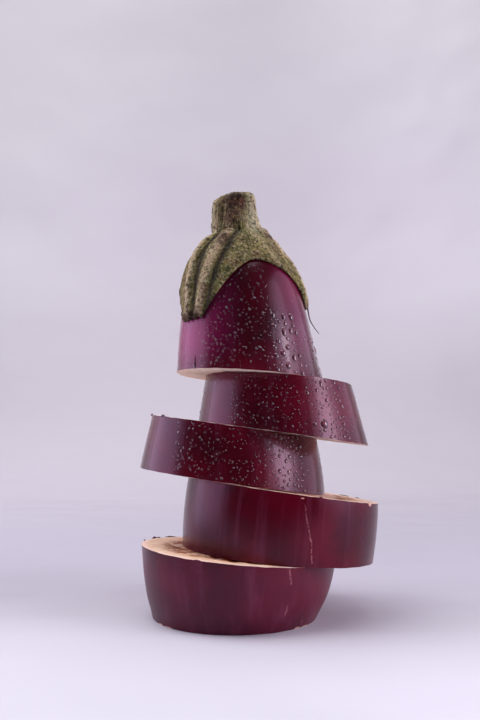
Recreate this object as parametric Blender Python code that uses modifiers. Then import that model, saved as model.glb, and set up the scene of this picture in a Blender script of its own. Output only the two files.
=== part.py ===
"""A sliced eggplant: five pieces of one fruit, stacked again in a zigzag, under calyx and stem.

Metres, +Z up. The origin is the centre of the flat cut that the stack stands on, +X is to the right
and -Y is the front, where the widest notch of the calyx is. Angles round a fruit start at its front
and grow to the right.
"""

import math
from collections import namedtuple

import bmesh
import bpy
import numpy as np
from mathutils import Euler, Matrix, Vector
from mathutils.geometry import interpolate_bezier

MM = 0.001

# The whole fruit before it was cut: height along its axis, up from where its blossom end was trimmed
# off, and radius there, both in millimetres
FRUIT_OUTLINE = (
    (159.0, 0.0),
    (157.7, 6.6),
    (154.8, 11.2),
    (150.7, 15.3),
    (146.2, 18.6),
    (141.2, 21.4),
    (136.0, 23.5),
    (130.0, 24.9),
    (123.0, 26.2),
    (114.0, 27.7),
    (105.0, 28.9),
    (97.0, 30.3),
    (86.0, 32.6),
    (75.0, 34.9),
    (64.0, 37.3),
    (52.0, 39.3),
    (38.0, 39.9),
    (26.0, 39.3),
    (17.0, 38.3),
    (9.0, 36.5),
    (3.0, 34.2),
    (-2.0, 32.0),
    (-7.0, 28.0),
    (-11.5, 16.0),
    (-13.5, 0.0),
)
FACETS = 64
RINGS_PER_STEP = 2
SEAM = 0.000001
POLE_SEAM = 0.00001

# The blossom end sags to the fruit's left: how far at its trimmed end, and from which height down
BLOSSOM_SAG = 1.8 * MM
SAG_START = 25.0 * MM

# How far the fruit's section is from a circle: waves round it, share of the radius, angle of a crest
OUT_OF_ROUND = ((2, 0.010, 35.0), (3, 0.005, 80.0))

# The faces that the pieces meet on: height in millimetres above the table at the origin, then by
# how many degrees a face rises to the right and to the back
Cut = namedtuple("Cut", "height rise_right rise_back")
CUTS = (
    Cut(0.0, 0.0, 0.0),
    Cut(25.4, -4.9, -1.5),
    Cut(52.9, -8.2, -2.2),
    Cut(75.5, -8.2, -1.1),
    Cut(96.1, -4.1, -2.7),
)
GAP = 0.3 * MM

# Where each piece stands on the cut below it: height in the whole fruit of its lowest point on the
# axis and place of that point in millimetres, then in degrees the lean of the axis to the right and
# to the back, and the turn about the axis
Piece = namedtuple("Piece", "name fruit_height x y lean_right lean_back turn")
PIECES = (
    Piece("blossom_end_piece", 0.0, 1.8, 0.0, 0.0, 0.0, 0.0),
    Piece("lower_slice", 25.3, 17.5, 6.6, 4.9, -3.3, 10.0),
    Piece("middle_slice", 52.0, -1.4, 10.7, 1.1, -2.1, -15.0),
    Piece("upper_slice", 75.0, 18.7, 5.7, -2.6, 0.5, 15.0),
    Piece("stem_end_piece", 97.0, 5.6, 2.0, -4.5, 1.5, 0.0),
)

# The calyx hugs the fruit. Its lobes: angle of the middle, half width of the blunt end, and height
# of the end in the whole fruit
Lobe = namedtuple("Lobe", "angle half_width height")
LOBES = (
    Lobe(math.radians(-48), math.radians(11), 119.8 * MM),
    Lobe(math.radians(92), math.radians(3), 123.5 * MM),
    Lobe(math.radians(149), math.radians(5), 125.5 * MM),
    Lobe(math.radians(207), math.radians(6), 121.5 * MM),
)
# The notch after each lobe, going to the right: height of its top, and where the top is as a share
# of the way to the next lobe
Notch = namedtuple("Notch", "height place")
NOTCHES = (
    Notch(142.0 * MM, 0.43),
    Notch(139.0 * MM, 0.5),
    Notch(137.5 * MM, 0.5),
    Notch(137.5 * MM, 0.45),
)
NOTCH_CURVE = 1.75
BLUNT_TEETH = 3
TOOTH_DEPTH = 2.4 * MM
TOOTH_LOBE = math.radians(20)
LEAST_TURN = math.radians(0.001)
CALYX_COLUMNS = 120
CALYX_EDGE_LIFT = 1.2 * MM
CALYX_SHOULDER_LIFT = 2.0 * MM
CALYX_RIM_LIFT = 0.85 * MM
CALYX_CLEARANCE = 0.4 * MM
SHOULDER_ARC = 9.5 * MM
OUTSIDE_ROWS = (0.0, 0.07, 0.15, 0.24, 0.34, 0.45, 0.56, 0.67, 0.78, 0.88, 0.96)
INSIDE_ROWS = 10
SLOPE_REACH = 1.0 * MM

# How much higher than its edge the calyx lies at the stem, and how late its edge begins to wave:
# the greater the power, the nearer to that end
SHOULDER_POWER = 2
RIB_FADE_POWER = 3
WAVE_POWER = 4
RIM_WAVE_SHARE = 0.8

# The calyx bulges at the left and, close to the stem, at the right, and is flatter below that: how
# far in millimetres, angle and half width in degrees, length along the fruit and reach in millimetres
Bulge = namedtuple("Bulge", "lift angle half_width arc reach")
BULGES = (
    Bulge(1.3, -80, 40, 24.0, 8.0),
    Bulge(1.9, 88, 30, 10.5, 3.0),
    Bulge(-1.4, 88, 30, 23.0, 8.0),
)

# Ribs of the calyx: angle at the stem, angle at the end of a lobe, height in millimetres
RIBS = (
    (-14, -41, 1.7),
    (-58, -53, 1.7),
    (-116, -84, 0.8),
    (22, 52, 0.5),
    (64, 91, 1.6),
    (112, 122, 0.5),
    (138, 149, 1.5),
    (176, 190, 0.6),
    (212, 207, 1.6),
)
RIB_HALF_WIDTH = 2.1 * MM
RIB_REACH = 44.0 * MM
RIB_BEND = 0.6
RIB_START = 0.3
RIB_GROWTH = 3.5
RIB_FADE = 0.55

# How far the edge waves up from the fruit, and how many times round
EDGE_WAVE = 0.5 * MM
EDGE_WAVES = 11

# The stem: height in the whole fruit and radius of each ring, in millimetres, and how much its cut
# end rises to the right
STEM_RINGS = ((161.8, 9.8), (165.0, 9.2), (169.0, 8.8), (172.5, 8.4), (174.1, 7.0))
STEM_END = 174.6 * MM
STEM_END_RING = 0.6
STEM_CUT_RISE = 0.14
STEM_CUT_START = 168.0 * MM
STEM_FLUTES = 5
FLUTE_DEPTH = 0.055

# The dried thread on the right lobe's tip: radius from the fruit's axis and height, in millimetres
THREAD_ROUTE = ((27.3, 128.0), (27.6, 124.0), (28.1, 119.5), (29.6, 116.2), (31.4, 113.3))
THREAD_RADIUS = 0.4 * MM
THREAD_TIP_SHARE = 0.75

# Edges sharper than these stay sharp when the faces are shaded smooth
CUT_EDGE = math.radians(40)
CALYX_EDGE = math.radians(50)

SKIN = ("skin", (0.10, 0.012, 0.035, 1.0), 0.18)
FLESH = ("flesh", (0.80, 0.62, 0.42, 1.0), 0.65)
CALYX_GREEN = ("calyx_green", (0.16, 0.15, 0.06, 1.0), 0.85)


def clear_scene():
    for old in list(bpy.data.objects):
        bpy.data.objects.remove(old)


def material(kind):
    name, colour, roughness = kind
    made = bpy.data.materials.new(name)
    made.use_nodes = True
    shader = made.node_tree.nodes["Principled BSDF"]
    shader.inputs["Base Color"].default_value = colour
    shader.inputs["Roughness"].default_value = roughness
    shader.inputs["Metallic"].default_value = 0.0
    return made


def smooth_outline():
    """The fruit's outline as Vectors of radius and height, curved between the driving points."""
    points = [Vector((radius, height, 0.0)) * MM for height, radius in FRUIT_OUTLINE]
    # A mirrored neighbour beyond each pole keeps the outline square to the axis there
    first = Vector((-points[1].x, points[1].y, 0.0))
    last = Vector((-points[-2].x, points[-2].y, 0.0))
    line = [first, *points, last]
    smooth = []
    for before, start, end, after in zip(line, line[1:], line[2:], line[3:]):
        leave = start + (end - before) / 6
        arrive = end - (after - start) / 6
        smooth += interpolate_bezier(start, leave, arrive, end, RINGS_PER_STEP + 1)[:-1]
    return smooth + [points[-1]]


def out_of_round(angle):
    """Radius at this angle as a share of the outline's."""
    share = 1.0
    for waves, amount, crest in OUT_OF_ROUND:
        share += amount * math.cos(waves * (angle - math.radians(crest)))
    return share


def at(angle, radius, height):
    """The point at this angle round the fruit's axis."""
    return Vector((radius * math.sin(angle), -radius * math.cos(angle), height))


def turned_fruit(outline):
    """The mesh of the whole fruit, from its outline turned about its axis."""
    profile = bpy.data.meshes.new("fruit_outline")
    corners = [(point.x, 0.0, point.y) for point in outline]
    profile.from_pydata(corners, [(i, i + 1) for i in range(len(corners) - 1)], [])
    turned = bpy.data.objects.new("fruit_outline", profile)
    bpy.context.scene.collection.objects.link(turned)
    screw = turned.modifiers.new("turn", "SCREW")
    screw.steps = FACETS
    screw.render_steps = FACETS
    screw.use_merge_vertices = True
    screw.merge_threshold = POLE_SEAM
    graph = bpy.context.evaluated_depsgraph_get()
    fruit = bpy.data.meshes.new_from_object(turned.evaluated_get(graph))
    bpy.data.objects.remove(turned)
    for vertex in fruit.vertices:
        share = out_of_round(math.atan2(vertex.co.x, -vertex.co.y))
        vertex.co.x *= share
        vertex.co.y *= share
        vertex.co.x -= BLOSSOM_SAG * max(0.0, 1 - vertex.co.z / SAG_START) ** 2
    return fruit


def slopes(cut):
    return math.tan(math.radians(cut.rise_right)), math.tan(math.radians(cut.rise_back))


def face_of(cut, lift=0.0):
    """A point and the upward normal of a cut, raised by lift."""
    right, back = slopes(cut)
    normal = Vector((-right, -back, 1.0)).normalized()
    return Vector((0.0, 0.0, cut.height * MM)) + normal * lift, normal


def place_of(piece, cut):
    """Carries the whole fruit to where this piece of it stands on the cut."""
    right, back = slopes(cut)
    x, y = piece.x * MM, piece.y * MM
    stand = Matrix.Translation((x, y, cut.height * MM + right * x + back * y))
    lean = Euler((-math.radians(piece.lean_back), math.radians(piece.lean_right), 0.0))
    turn = Matrix.Rotation(math.radians(piece.turn), 4, "Z")
    lowered = Matrix.Translation((0.0, 0.0, -piece.fruit_height * MM))
    return stand @ lean.to_matrix().to_4x4() @ turn @ lowered


def cut_away(bm, point, outward):
    """Removes what lies outside the plane and closes the cut with a flat face of flesh."""
    everything = bm.verts[:] + bm.edges[:] + bm.faces[:]
    plane = {"plane_co": point, "plane_no": outward}
    cut = bmesh.ops.bisect_plane(bm, geom=everything, clear_outer=True, **plane)
    rim = [part for part in cut["geom_cut"] if isinstance(part, bmesh.types.BMEdge)]
    for face in bmesh.ops.edgeloop_fill(bm, edges=rim)["faces"]:
        face.material_index = 1


def place_object(name, mesh, place, collection):
    made = bpy.data.objects.new(name, mesh)
    made.matrix_world = place
    collection.objects.link(made)
    return made


def cut_piece(piece, fruit, below, above, materials, collection):
    """One piece: the fruit between the cut that it rests on and the cut above it, or its tip."""
    place = place_of(piece, below)
    to_fruit = place.inverted()
    turn_to_fruit = to_fruit.to_3x3()
    bm = bmesh.new()
    bm.from_mesh(fruit)
    bmesh.ops.remove_doubles(bm, verts=bm.verts[:], dist=SEAM)
    rests_by = GAP if below.height > 0.0 else 0.0
    point, normal = face_of(below, rests_by)
    cut_away(bm, to_fruit @ point, turn_to_fruit @ -normal)
    if above:
        point, normal = face_of(above)
        cut_away(bm, to_fruit @ point, turn_to_fruit @ normal)
    bmesh.ops.recalc_face_normals(bm, faces=bm.faces[:])
    mesh = bpy.data.meshes.new(piece.name)
    bm.to_mesh(mesh)
    bm.free()
    for kind in materials:
        mesh.materials.append(kind)
    mesh.shade_smooth()
    mesh.set_sharp_from_angle(angle=CUT_EDGE)
    return place_object(piece.name, mesh, place, collection)


class FruitSurface:
    """The fruit's outline by the length along it from the stem end's tip."""

    def __init__(self, outline):
        radii = np.array([point.x for point in outline])
        heights = np.array([point.y for point in outline])
        steps = np.hypot(np.diff(radii), np.diff(heights))
        self.arcs = np.concatenate([[0.0], np.cumsum(steps)])
        self.radii = radii
        self.heights = heights

    def arc_at(self, height):
        return float(np.interp(-height, -self.heights, self.arcs))

    def outline_at(self, arc):
        radius = float(np.interp(arc, self.arcs, self.radii))
        height = float(np.interp(arc, self.arcs, self.heights))
        return Vector((radius, height))

    def lifted(self, arc, angle, lift):
        """The point at this arc and angle, lift above the fruit's skin."""
        before = self.outline_at(max(arc - SLOPE_REACH, 0.0))
        along = self.outline_at(arc + SLOPE_REACH) - before
        outward = Vector((-along.y, along.x)).normalized()
        if arc <= 0.0:
            outward = Vector((0.0, 1.0))
        base = self.outline_at(arc)
        radius = base.x * out_of_round(angle) + outward.x * lift
        return at(angle, radius, base.y + outward.y * lift)


def turned_to(angle, centre):
    """The angle from centre, between half a turn back and half a turn on."""
    return (angle - centre + math.pi) % math.tau - math.pi


def lobe_end(angle):
    """Height in the fruit of the calyx's edge at this angle: lobes' ends, arched notches between."""
    for lobe in LOBES:
        aside = turned_to(angle, lobe.angle)
        if abs(aside) <= lobe.half_width + LEAST_TURN:
            teeth = abs(math.sin(BLUNT_TEETH * math.pi * (aside / lobe.half_width + 1) / 2))
            return lobe.height + TOOTH_DEPTH * teeth * min(1.0, lobe.half_width / TOOTH_LOBE)
    for lobe, following, notch in zip(LOBES, LOBES[1:] + LOBES[:1], NOTCHES):
        start = lobe.angle + lobe.half_width
        width = (following.angle - following.half_width - start) % math.tau
        share = ((angle - start) % math.tau) / width
        if share < 1.0:
            break
    foot, side = (lobe, notch.place) if share < notch.place else (following, 1 - notch.place)
    drop = abs(share - notch.place) / side
    return notch.height - (notch.height - foot.height) * drop ** NOTCH_CURVE


def rib_lift(angle, arc, radius):
    """How far the ribs stand out of the calyx at this arc, where the fruit has this radius."""
    along = min(max((arc - SHOULDER_ARC) / RIB_REACH, 0.0), 1.0) ** RIB_BEND
    lift = 0.0
    for top, low, height in RIBS:
        centre = math.radians(top + (low - top) * along)
        aside = turned_to(angle, centre) * radius / RIB_HALF_WIDTH
        lift += height * MM * math.exp(-aside * aside)
    return lift


def bulge(angle, arc):
    """How far the calyx stands out beyond its even thickness."""
    lift = 0.0
    for place in BULGES:
        aside = turned_to(angle, math.radians(place.angle)) / math.radians(place.half_width)
        along = (arc / MM - place.arc) / place.reach
        lift += place.lift * MM * math.exp(-aside * aside - along * along)
    return lift


def stem_point(angle, radius, height):
    """A point of the stem, whose upper end is cut at a slant."""
    slant = max(0.0, (height - STEM_CUT_START) / (STEM_END - STEM_CUT_START))
    point = at(angle, radius * (1 + FLUTE_DEPTH * math.cos(STEM_FLUTES * angle)), height)
    point.z += STEM_CUT_RISE * slant * point.x
    return point


def calyx_section(angle, surface):
    """Points of the calyx at one angle: down the outside from the stem's cut end, then up the inside."""
    _, end_radius = STEM_RINGS[-1]
    section = [at(angle, 0.0, STEM_END), stem_point(angle, end_radius * MM * STEM_END_RING, STEM_END)]
    for height, radius in reversed(STEM_RINGS):
        section.append(stem_point(angle, radius * MM, height * MM))
    edge = surface.arc_at(lobe_end(angle))
    wave = EDGE_WAVE * (1 + math.sin(EDGE_WAVES * angle)) / 2
    for share in OUTSIDE_ROWS:
        arc = SHOULDER_ARC + (edge - SHOULDER_ARC) * share
        rise = (CALYX_SHOULDER_LIFT - CALYX_EDGE_LIFT) * (1 - share) ** SHOULDER_POWER
        ribs = rib_lift(angle, arc, surface.outline_at(arc).x)
        ribs *= min(1.0, RIB_START + RIB_GROWTH * share) * (1 - RIB_FADE * share ** RIB_FADE_POWER)
        lift = CALYX_EDGE_LIFT + rise + ribs + bulge(angle, arc) + wave * share ** WAVE_POWER
        section.append(surface.lifted(arc, angle, max(CALYX_RIM_LIFT, lift)))
    section.append(surface.lifted(edge, angle, CALYX_RIM_LIFT + wave * RIM_WAVE_SHARE))
    for row in range(INSIDE_ROWS + 1):
        arc = edge * (1 - row / INSIDE_ROWS)
        section.append(surface.lifted(arc, angle, CALYX_CLEARANCE))
    return section


def calyx_body(surface):
    """The mesh of the calyx and stem: a grid wrapped round the axis, one column for each angle."""
    sections = [calyx_section(math.tau * i / CALYX_COLUMNS, surface) for i in range(CALYX_COLUMNS)]
    rows = len(sections[0]) - 1
    bm = bmesh.new()
    bmesh.ops.create_grid(bm, x_segments=CALYX_COLUMNS, y_segments=rows, size=0.5)
    for vertex in bm.verts:
        column = round((vertex.co.x + 0.5) * CALYX_COLUMNS) % CALYX_COLUMNS
        row = round((vertex.co.y + 0.5) * rows)
        vertex.co = sections[column][row]
    bmesh.ops.remove_doubles(bm, verts=bm.verts[:], dist=SEAM)
    bmesh.ops.recalc_face_normals(bm, faces=bm.faces[:])
    mesh = bpy.data.meshes.new("calyx_and_stem")
    bm.to_mesh(mesh)
    bm.free()
    return mesh


def dried_thread(collection):
    """A tapering thread, as a closed mesh, whose root lies inside the right lobe."""
    curve = bpy.data.curves.new("dried_thread", "CURVE")
    curve.dimensions = "3D"
    curve.bevel_depth = THREAD_RADIUS
    curve.bevel_resolution = 1
    curve.use_fill_caps = True
    spline = curve.splines.new("POLY")
    spline.points.add(len(THREAD_ROUTE) - 1)
    angle = LOBES[1].angle
    for i, (point, (radius, height)) in enumerate(zip(spline.points, THREAD_ROUTE)):
        point.co = (*at(angle, radius * MM, height * MM), 1.0)
        point.radius = 1.0 - (1.0 - THREAD_TIP_SHARE) * i / (len(THREAD_ROUTE) - 1)
    drawn = place_object("dried_thread_line", curve, Matrix.Identity(4), collection)
    graph = bpy.context.evaluated_depsgraph_get()
    mesh = bpy.data.meshes.new_from_object(drawn.evaluated_get(graph))
    bpy.data.objects.remove(drawn)
    bm = bmesh.new()
    bm.from_mesh(mesh)
    bmesh.ops.remove_doubles(bm, verts=bm.verts[:], dist=SEAM)
    bmesh.ops.recalc_face_normals(bm, faces=bm.faces[:])
    bm.to_mesh(mesh)
    bm.free()
    return mesh


def calyx_and_stem(surface, place, green, collection, helpers):
    """The calyx with its stem and the dried thread joined to it, in the stem end's place."""
    mesh = calyx_body(surface)
    mesh.materials.append(green)
    mesh.shade_smooth()
    mesh.set_sharp_from_angle(angle=CALYX_EDGE)
    calyx = place_object("calyx_and_stem", mesh, place, collection)
    thread = place_object("dried_thread", dried_thread(collection), place, helpers)
    thread.hide_render = True
    thread.display_type = "WIRE"
    union = calyx.modifiers.new("thread", "BOOLEAN")
    union.operation = "UNION"
    union.object = thread
    return calyx


def main():
    clear_scene()
    collection = bpy.data.collections.new("sliced_eggplant")
    helpers = bpy.data.collections.new("joined_shapes")
    bpy.context.scene.collection.children.link(collection)
    bpy.context.scene.collection.children.link(helpers)
    outline = smooth_outline()
    fruit = turned_fruit(outline)
    skin_and_flesh = (material(SKIN), material(FLESH))
    for piece, below, above in zip(PIECES, CUTS, CUTS[1:] + (None,)):
        cut_piece(piece, fruit, below, above, skin_and_flesh, collection)
    bpy.data.meshes.remove(fruit)
    top_place = place_of(PIECES[-1], CUTS[-1])
    calyx_and_stem(FruitSurface(outline), top_place, material(CALYX_GREEN), collection, helpers)


main()
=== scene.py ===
# %% [markdown]
# # A sliced eggplant, stacked in a zigzag
#
# An eggplant is cut across into five pieces, and the pieces stand on each other again, each one
# pushed to a side. The top piece still wears its calyx and a stub of stem.
#
# The packed solids give every piece its size and place, and this notebook gives them their looks:
# thin glossy skin over spongy cream flesh, a dry ribbed calyx, and beads of water on the upper three
# pieces. Real fruit is never smooth, so each solid is replaced by a finer mesh of the same form.

# %% The frame
import math
import random
from collections import namedtuple

import bmesh
import bpy
import numpy as np
from mathutils import Euler, Matrix, Vector, noise
from mathutils.geometry import interpolate_bezier


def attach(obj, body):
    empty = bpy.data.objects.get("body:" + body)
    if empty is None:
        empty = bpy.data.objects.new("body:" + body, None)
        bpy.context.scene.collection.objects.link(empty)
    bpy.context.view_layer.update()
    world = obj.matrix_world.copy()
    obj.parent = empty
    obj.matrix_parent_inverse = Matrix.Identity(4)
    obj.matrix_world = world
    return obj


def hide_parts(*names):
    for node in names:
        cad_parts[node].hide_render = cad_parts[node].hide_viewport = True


MM = 0.001

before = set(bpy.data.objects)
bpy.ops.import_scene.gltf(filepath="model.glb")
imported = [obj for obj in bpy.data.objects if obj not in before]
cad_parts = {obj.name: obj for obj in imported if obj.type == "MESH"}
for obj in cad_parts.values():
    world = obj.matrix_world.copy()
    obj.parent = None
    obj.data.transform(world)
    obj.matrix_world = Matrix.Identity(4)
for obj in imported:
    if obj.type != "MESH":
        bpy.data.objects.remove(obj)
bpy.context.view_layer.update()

# %% [markdown]
# ## The camera
#
# The camera stands a third of a metre in front of the stack, a little under half of its height, and
# looks up by a few degrees. From there the tops of the two lower pieces show, and the undersides of
# the two upper ones. A longer lens from further away would flatten the stack, so the distance comes
# first and the lens follows from it.

# %% Place the camera
CAMERA_PLACE = Vector((2.44, -330.4, 76.7)) * MM
CAMERA_TILT = math.radians(4.55)
LENS = 40.0
SENSOR = 36.0
NEAREST_SEEN = 0.01

camera_data = bpy.data.cameras.new("camera")
camera_data.lens = LENS
camera_data.sensor_width = SENSOR
camera_data.sensor_fit = "AUTO"
camera_data.clip_start = NEAREST_SEEN
camera = bpy.data.objects.new("camera", camera_data)
camera.location = CAMERA_PLACE
camera.rotation_euler = (math.radians(90) + CAMERA_TILT, 0.0, 0.0)
bpy.context.scene.collection.objects.link(camera)
bpy.context.scene.camera = camera
bpy.context.scene.view_settings.view_transform = "Standard"
print("camera at", tuple(round(value, 3) for value in camera.location))

# %% [markdown]
# ## Arithmetic for finishes
#
# Every finish is a small graph of nodes. Wiring them by hand hides the idea, so a socket is wrapped
# in a class whose `+`, `-`, `*` and `/` add the Math nodes. Colours never pass through Math nodes,
# which would turn them grey: they are mixed.


# %% Sockets that can be added and mixed
class Signal:
    """A number, colour or vector that flows through a finish."""

    def __init__(self, finish, socket):
        self.finish = finish
        self.socket = socket

    def __add__(self, other):
        return self.finish.maths("ADD", self, other)

    def __sub__(self, other):
        return self.finish.maths("SUBTRACT", self, other)

    def __rsub__(self, other):
        return self.finish.maths("SUBTRACT", other, self)

    def __mul__(self, other):
        return self.finish.maths("MULTIPLY", self, other)

    def __truediv__(self, other):
        return self.finish.maths("DIVIDE", self, other)

    __radd__ = __add__
    __rmul__ = __mul__


class Finish:
    """A material: its shader, and the nodes that feed it."""

    def __init__(self, name, constants):
        self.material = bpy.data.materials.new(name)
        self.material.use_nodes = True
        self.tree = self.material.node_tree
        self.shader = self.tree.nodes["Principled BSDF"]
        self.feed(self.shader, constants)

    def feed(self, node, values):
        for name, value in values.items():
            if isinstance(value, Signal):
                self.tree.links.new(value.socket, node.inputs[name])
            else:
                node.inputs[name].default_value = value

    def node(self, kind, settings, values, output=0):
        made = self.tree.nodes.new("ShaderNode" + kind)
        for name, value in settings.items():
            setattr(made, name, value)
        self.feed(made, values)
        return Signal(self, made.outputs[output])

    def maths(self, operation, first, second=0.0):
        return self.node("Math", {"operation": operation}, {0: first, 1: second})

    def mixed(self, share, first, second):
        return self.node("Mix", {"data_type": "RGBA"}, {0: share, 6: first, 7: second}, output=2)

    def attribute(self, name, output="Vector"):
        return self.node("Attribute", {"attribute_name": name}, {}, output)

    def parts(self, point):
        """The X, Y and Z of a point."""
        split = self.node("SeparateXYZ", {}, {0: point}).socket.node
        return [Signal(self, socket) for socket in split.outputs]

    def turn_and_height(self, point):
        """The angle round the fruit's axis, from its front to the right, and the height along it."""
        x, y, height = self.parts(point)
        return self.maths("ARCTAN2", x, 0 - y), height

    def step(self, value, low, high):
        """0 below low, 1 above high, with a soft step between."""
        limits = {"Value": value, "From Min": low, "From Max": high}
        return self.node("MapRange", {"interpolation_type": "SMOOTHSTEP"}, limits)

    def stretched(self, point, factors):
        return self.node("VectorMath", {"operation": "MULTIPLY"}, {0: point, 1: factors})

    def grain(self, point, size, detail=2.0, roughness=0.5):
        """Soft noise whose blotches are about this size."""
        values = {"Vector": point, "Scale": 1 / size, "Detail": detail, "Roughness": roughness}
        return self.node("TexNoise", {}, values)

    def cells(self, point, size):
        """Distance to the nearest of many scattered points, about this size apart."""
        return self.node("TexVoronoi", {}, {"Vector": point, "Scale": 1 / size})

    def bump(self, height, depth, strength=1.0):
        return self.node("Bump", {}, {"Height": height, "Distance": depth, "Strength": strength})


print("a finish has", sum(not name.startswith("_") for name in vars(Finish)), "methods")

# %% [markdown]
# ## Colours
#
# Colours are given as they look on a screen, from 0 to 255 for red, green and blue. The renderer
# works in linear light, in which a colour that looks half as bright has about a fifth of the light.

# %% From a screen's colour to linear light
SCREEN_FULL = 255
SCREEN_GAMMA = 2.2


def paint(red, green, blue):
    """A screen colour as linear light."""
    shares = (value / SCREEN_FULL for value in (red, green, blue))
    return (*(share ** SCREEN_GAMMA for share in shares), 1.0)


print("half grey in linear light:", [round(value, 3) for value in paint(128, 128, 128)])

# %% [markdown]
# ## Finish of the sheet
#
# The stack stands on a pale lilac sheet that runs up behind it without a corner. The slow changes of a small
# studio's light are painted into its colour by depth and height: painted light on the near floor and on both
# sides of the backdrop. Low folds are only hinted at. Glossy skin mirrors the part of the sheet in front of
# it, so that part is painted dark as painted shade, which keeps the middle of each piece deep.

# %% Finish of the sheet
FRONT_EDGE_PAINTED_SHADE = paint(57, 53, 61)
NEAR_FLOOR_PAINTED_LIGHT = paint(214, 215, 223)
FLOOR_COLOUR = paint(178, 176, 186)
BEND_COLOUR = paint(203, 200, 206)
BACKDROP_COLOUR = paint(214, 212, 217)
BACKDROP_PAINTED_LIGHT = paint(248, 247, 252)
# Where each colour turns into the next, in metres behind the stack or above the floor
FRONT_TO_NEAR = (-0.30, -0.13)
NEAR_TO_FLOOR = (-0.10, 0.06)
FLOOR_TO_BEND = (0.15, 0.65)
BEND_TO_BACKDROP = (0.1, 0.4)
BRIGHT_ASIDE = (0.0, 0.4)
BRIGHT_HEIGHT = (0.08, 0.35)
LEFT_SHARE = -0.6
FOLD_SIZE = 0.16
FOLD_STRETCH = (1.0, 1.6, 1.0)
FOLD_DEPTH = 0.012


def sheet_finish():
    finish = Finish("sheet", {"Roughness": 0.9, "Specular IOR Level": 0.1})
    place = finish.node("TexCoord", {}, {}, "Object")
    across, depth, height = finish.parts(place)
    # Painted shade at the front edge, painted light on the near floor, duller further back
    colour = finish.mixed(finish.step(depth, *FRONT_TO_NEAR), FRONT_EDGE_PAINTED_SHADE, NEAR_FLOOR_PAINTED_LIGHT)
    colour = finish.mixed(finish.step(depth, *NEAR_TO_FLOOR), colour, FLOOR_COLOUR)
    colour = finish.mixed(finish.step(depth, *FLOOR_TO_BEND), colour, BEND_COLOUR)
    colour = finish.mixed(finish.step(height, *BEND_TO_BACKDROP), colour, BACKDROP_COLOUR)
    # Painted light on both sides of the backdrop, stronger on the right
    aside = finish.maths("MAXIMUM", across, across * LEFT_SHARE)
    bright = finish.step(aside, *BRIGHT_ASIDE) * finish.step(height, *BRIGHT_HEIGHT)
    colour = finish.mixed(bright, colour, BACKDROP_PAINTED_LIGHT)
    soft_folds = finish.grain(finish.stretched(place, FOLD_STRETCH), FOLD_SIZE)
    normal = finish.bump(soft_folds, FOLD_DEPTH)
    finish.feed(finish.shader, {"Base Color": colour, "Normal": normal})
    return finish.material


SHEET_FINISH = sheet_finish()
print(SHEET_FINISH.name, "has", len(SHEET_FINISH.node_tree.nodes), "nodes")

# %% [markdown]
# ## Form of the sheet
#
# The side view of the sheet is a line: the floor, a quarter bend and an upright part. The line is extruded
# sideways in one step.

# %% The sheet below and behind
SHEET_HALF_WIDTH = 1.3
SHEET_FRONT = -1.0
SHEET_BEND_START = 0.42
SHEET_BEND_RADIUS = 0.38
SHEET_TOP = 1.3
BEND_STEPS = 24


def sheet_profile():
    """Points of the sheet's side view: the floor, a quarter bend and the upright part."""
    bend = [math.radians(90) * i / BEND_STEPS for i in range(BEND_STEPS + 1)]
    floor = [(SHEET_FRONT, 0.0)]
    middle = [
        (SHEET_BEND_START + SHEET_BEND_RADIUS * math.sin(turn), SHEET_BEND_RADIUS * (1 - math.cos(turn)))
        for turn in bend
    ]
    return floor + middle + [(SHEET_BEND_START + SHEET_BEND_RADIUS, SHEET_TOP)]


def make_sheet():
    bm = bmesh.new()
    line = [bm.verts.new((-SHEET_HALF_WIDTH, y, z)) for y, z in sheet_profile()]
    edges = [bm.edges.new(pair) for pair in zip(line, line[1:])]
    grown = bmesh.ops.extrude_edge_only(bm, edges=edges)["geom"]
    moved = [part for part in grown if isinstance(part, bmesh.types.BMVert)]
    bmesh.ops.translate(bm, verts=moved, vec=(2 * SHEET_HALF_WIDTH, 0, 0))
    mesh = bpy.data.meshes.new("sheet")
    bm.to_mesh(mesh)
    bm.free()
    mesh.shade_smooth()
    mesh.materials.append(SHEET_FINISH)
    sheet = bpy.data.objects.new("sheet", mesh)
    bpy.context.scene.collection.objects.link(sheet)


make_sheet()
print("the sheet bends up from", SHEET_BEND_START, "m behind the stack")

# %% [markdown]
# ## The lights
#
# Glossy skin shows its lights as bands, so the lights are chosen by their reflections. A piece seen
# at an angle from its middle reflects what lies at twice that angle round it. The bright bands on
# the left flanks need a tall panel that reaches from the side to the back left. The bands on the
# right need a narrower one. In front it stays dark.
#
# Each panel is placed by the direction it stands in, seen from the stack: how far round from the
# front, to the right, and how far up, in degrees. Its distance and size are in metres. Its
# brightness is the light that leaves each square metre of it, so a panel can be made larger without
# a change in the brightness of the reflection that it draws.

# %% Hang the panels of light
Panel = namedtuple("Panel", "name round up distance width height brightness colour")
PANELS = (
    Panel("left_wide_panel", -100, 6, 0.60, 0.84, 0.90, 0.52, (1.0, 0.80, 1.14)),
    Panel("left_core_panel", -98, 6, 0.55, 0.50, 0.80, 1.08, (1.0, 0.80, 1.18)),
    Panel("right_wide_panel", 90, 8, 0.60, 0.90, 0.90, 0.78, (1.0, 0.83, 1.12)),
    Panel("right_core_panel", 66, 10, 0.52, 0.44, 0.60, 1.1, (1.0, 0.9, 1.08)),
    Panel("right_narrow_panel", 67, 12, 0.52, 0.22, 0.28, 4.4, (1.0, 0.9, 1.0)),
    Panel("key_panel", -92, 66, 0.90, 0.70, 0.70, 3.9, (1.0, 0.98, 1.0)),
    Panel("fill_panel", 40, 78, 1.00, 0.60, 0.60, 1.6, (1.0, 0.95, 0.98)),
    Panel("back_panel", 180, 50, 1.00, 1.60, 0.50, 1.2, (1.0, 1.0, 1.0)),
)
AIM = Vector((0.0, 0.0, 90.0)) * MM
ROOM_COLOUR = (0.05, 0.048, 0.055, 1.0)


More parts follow.
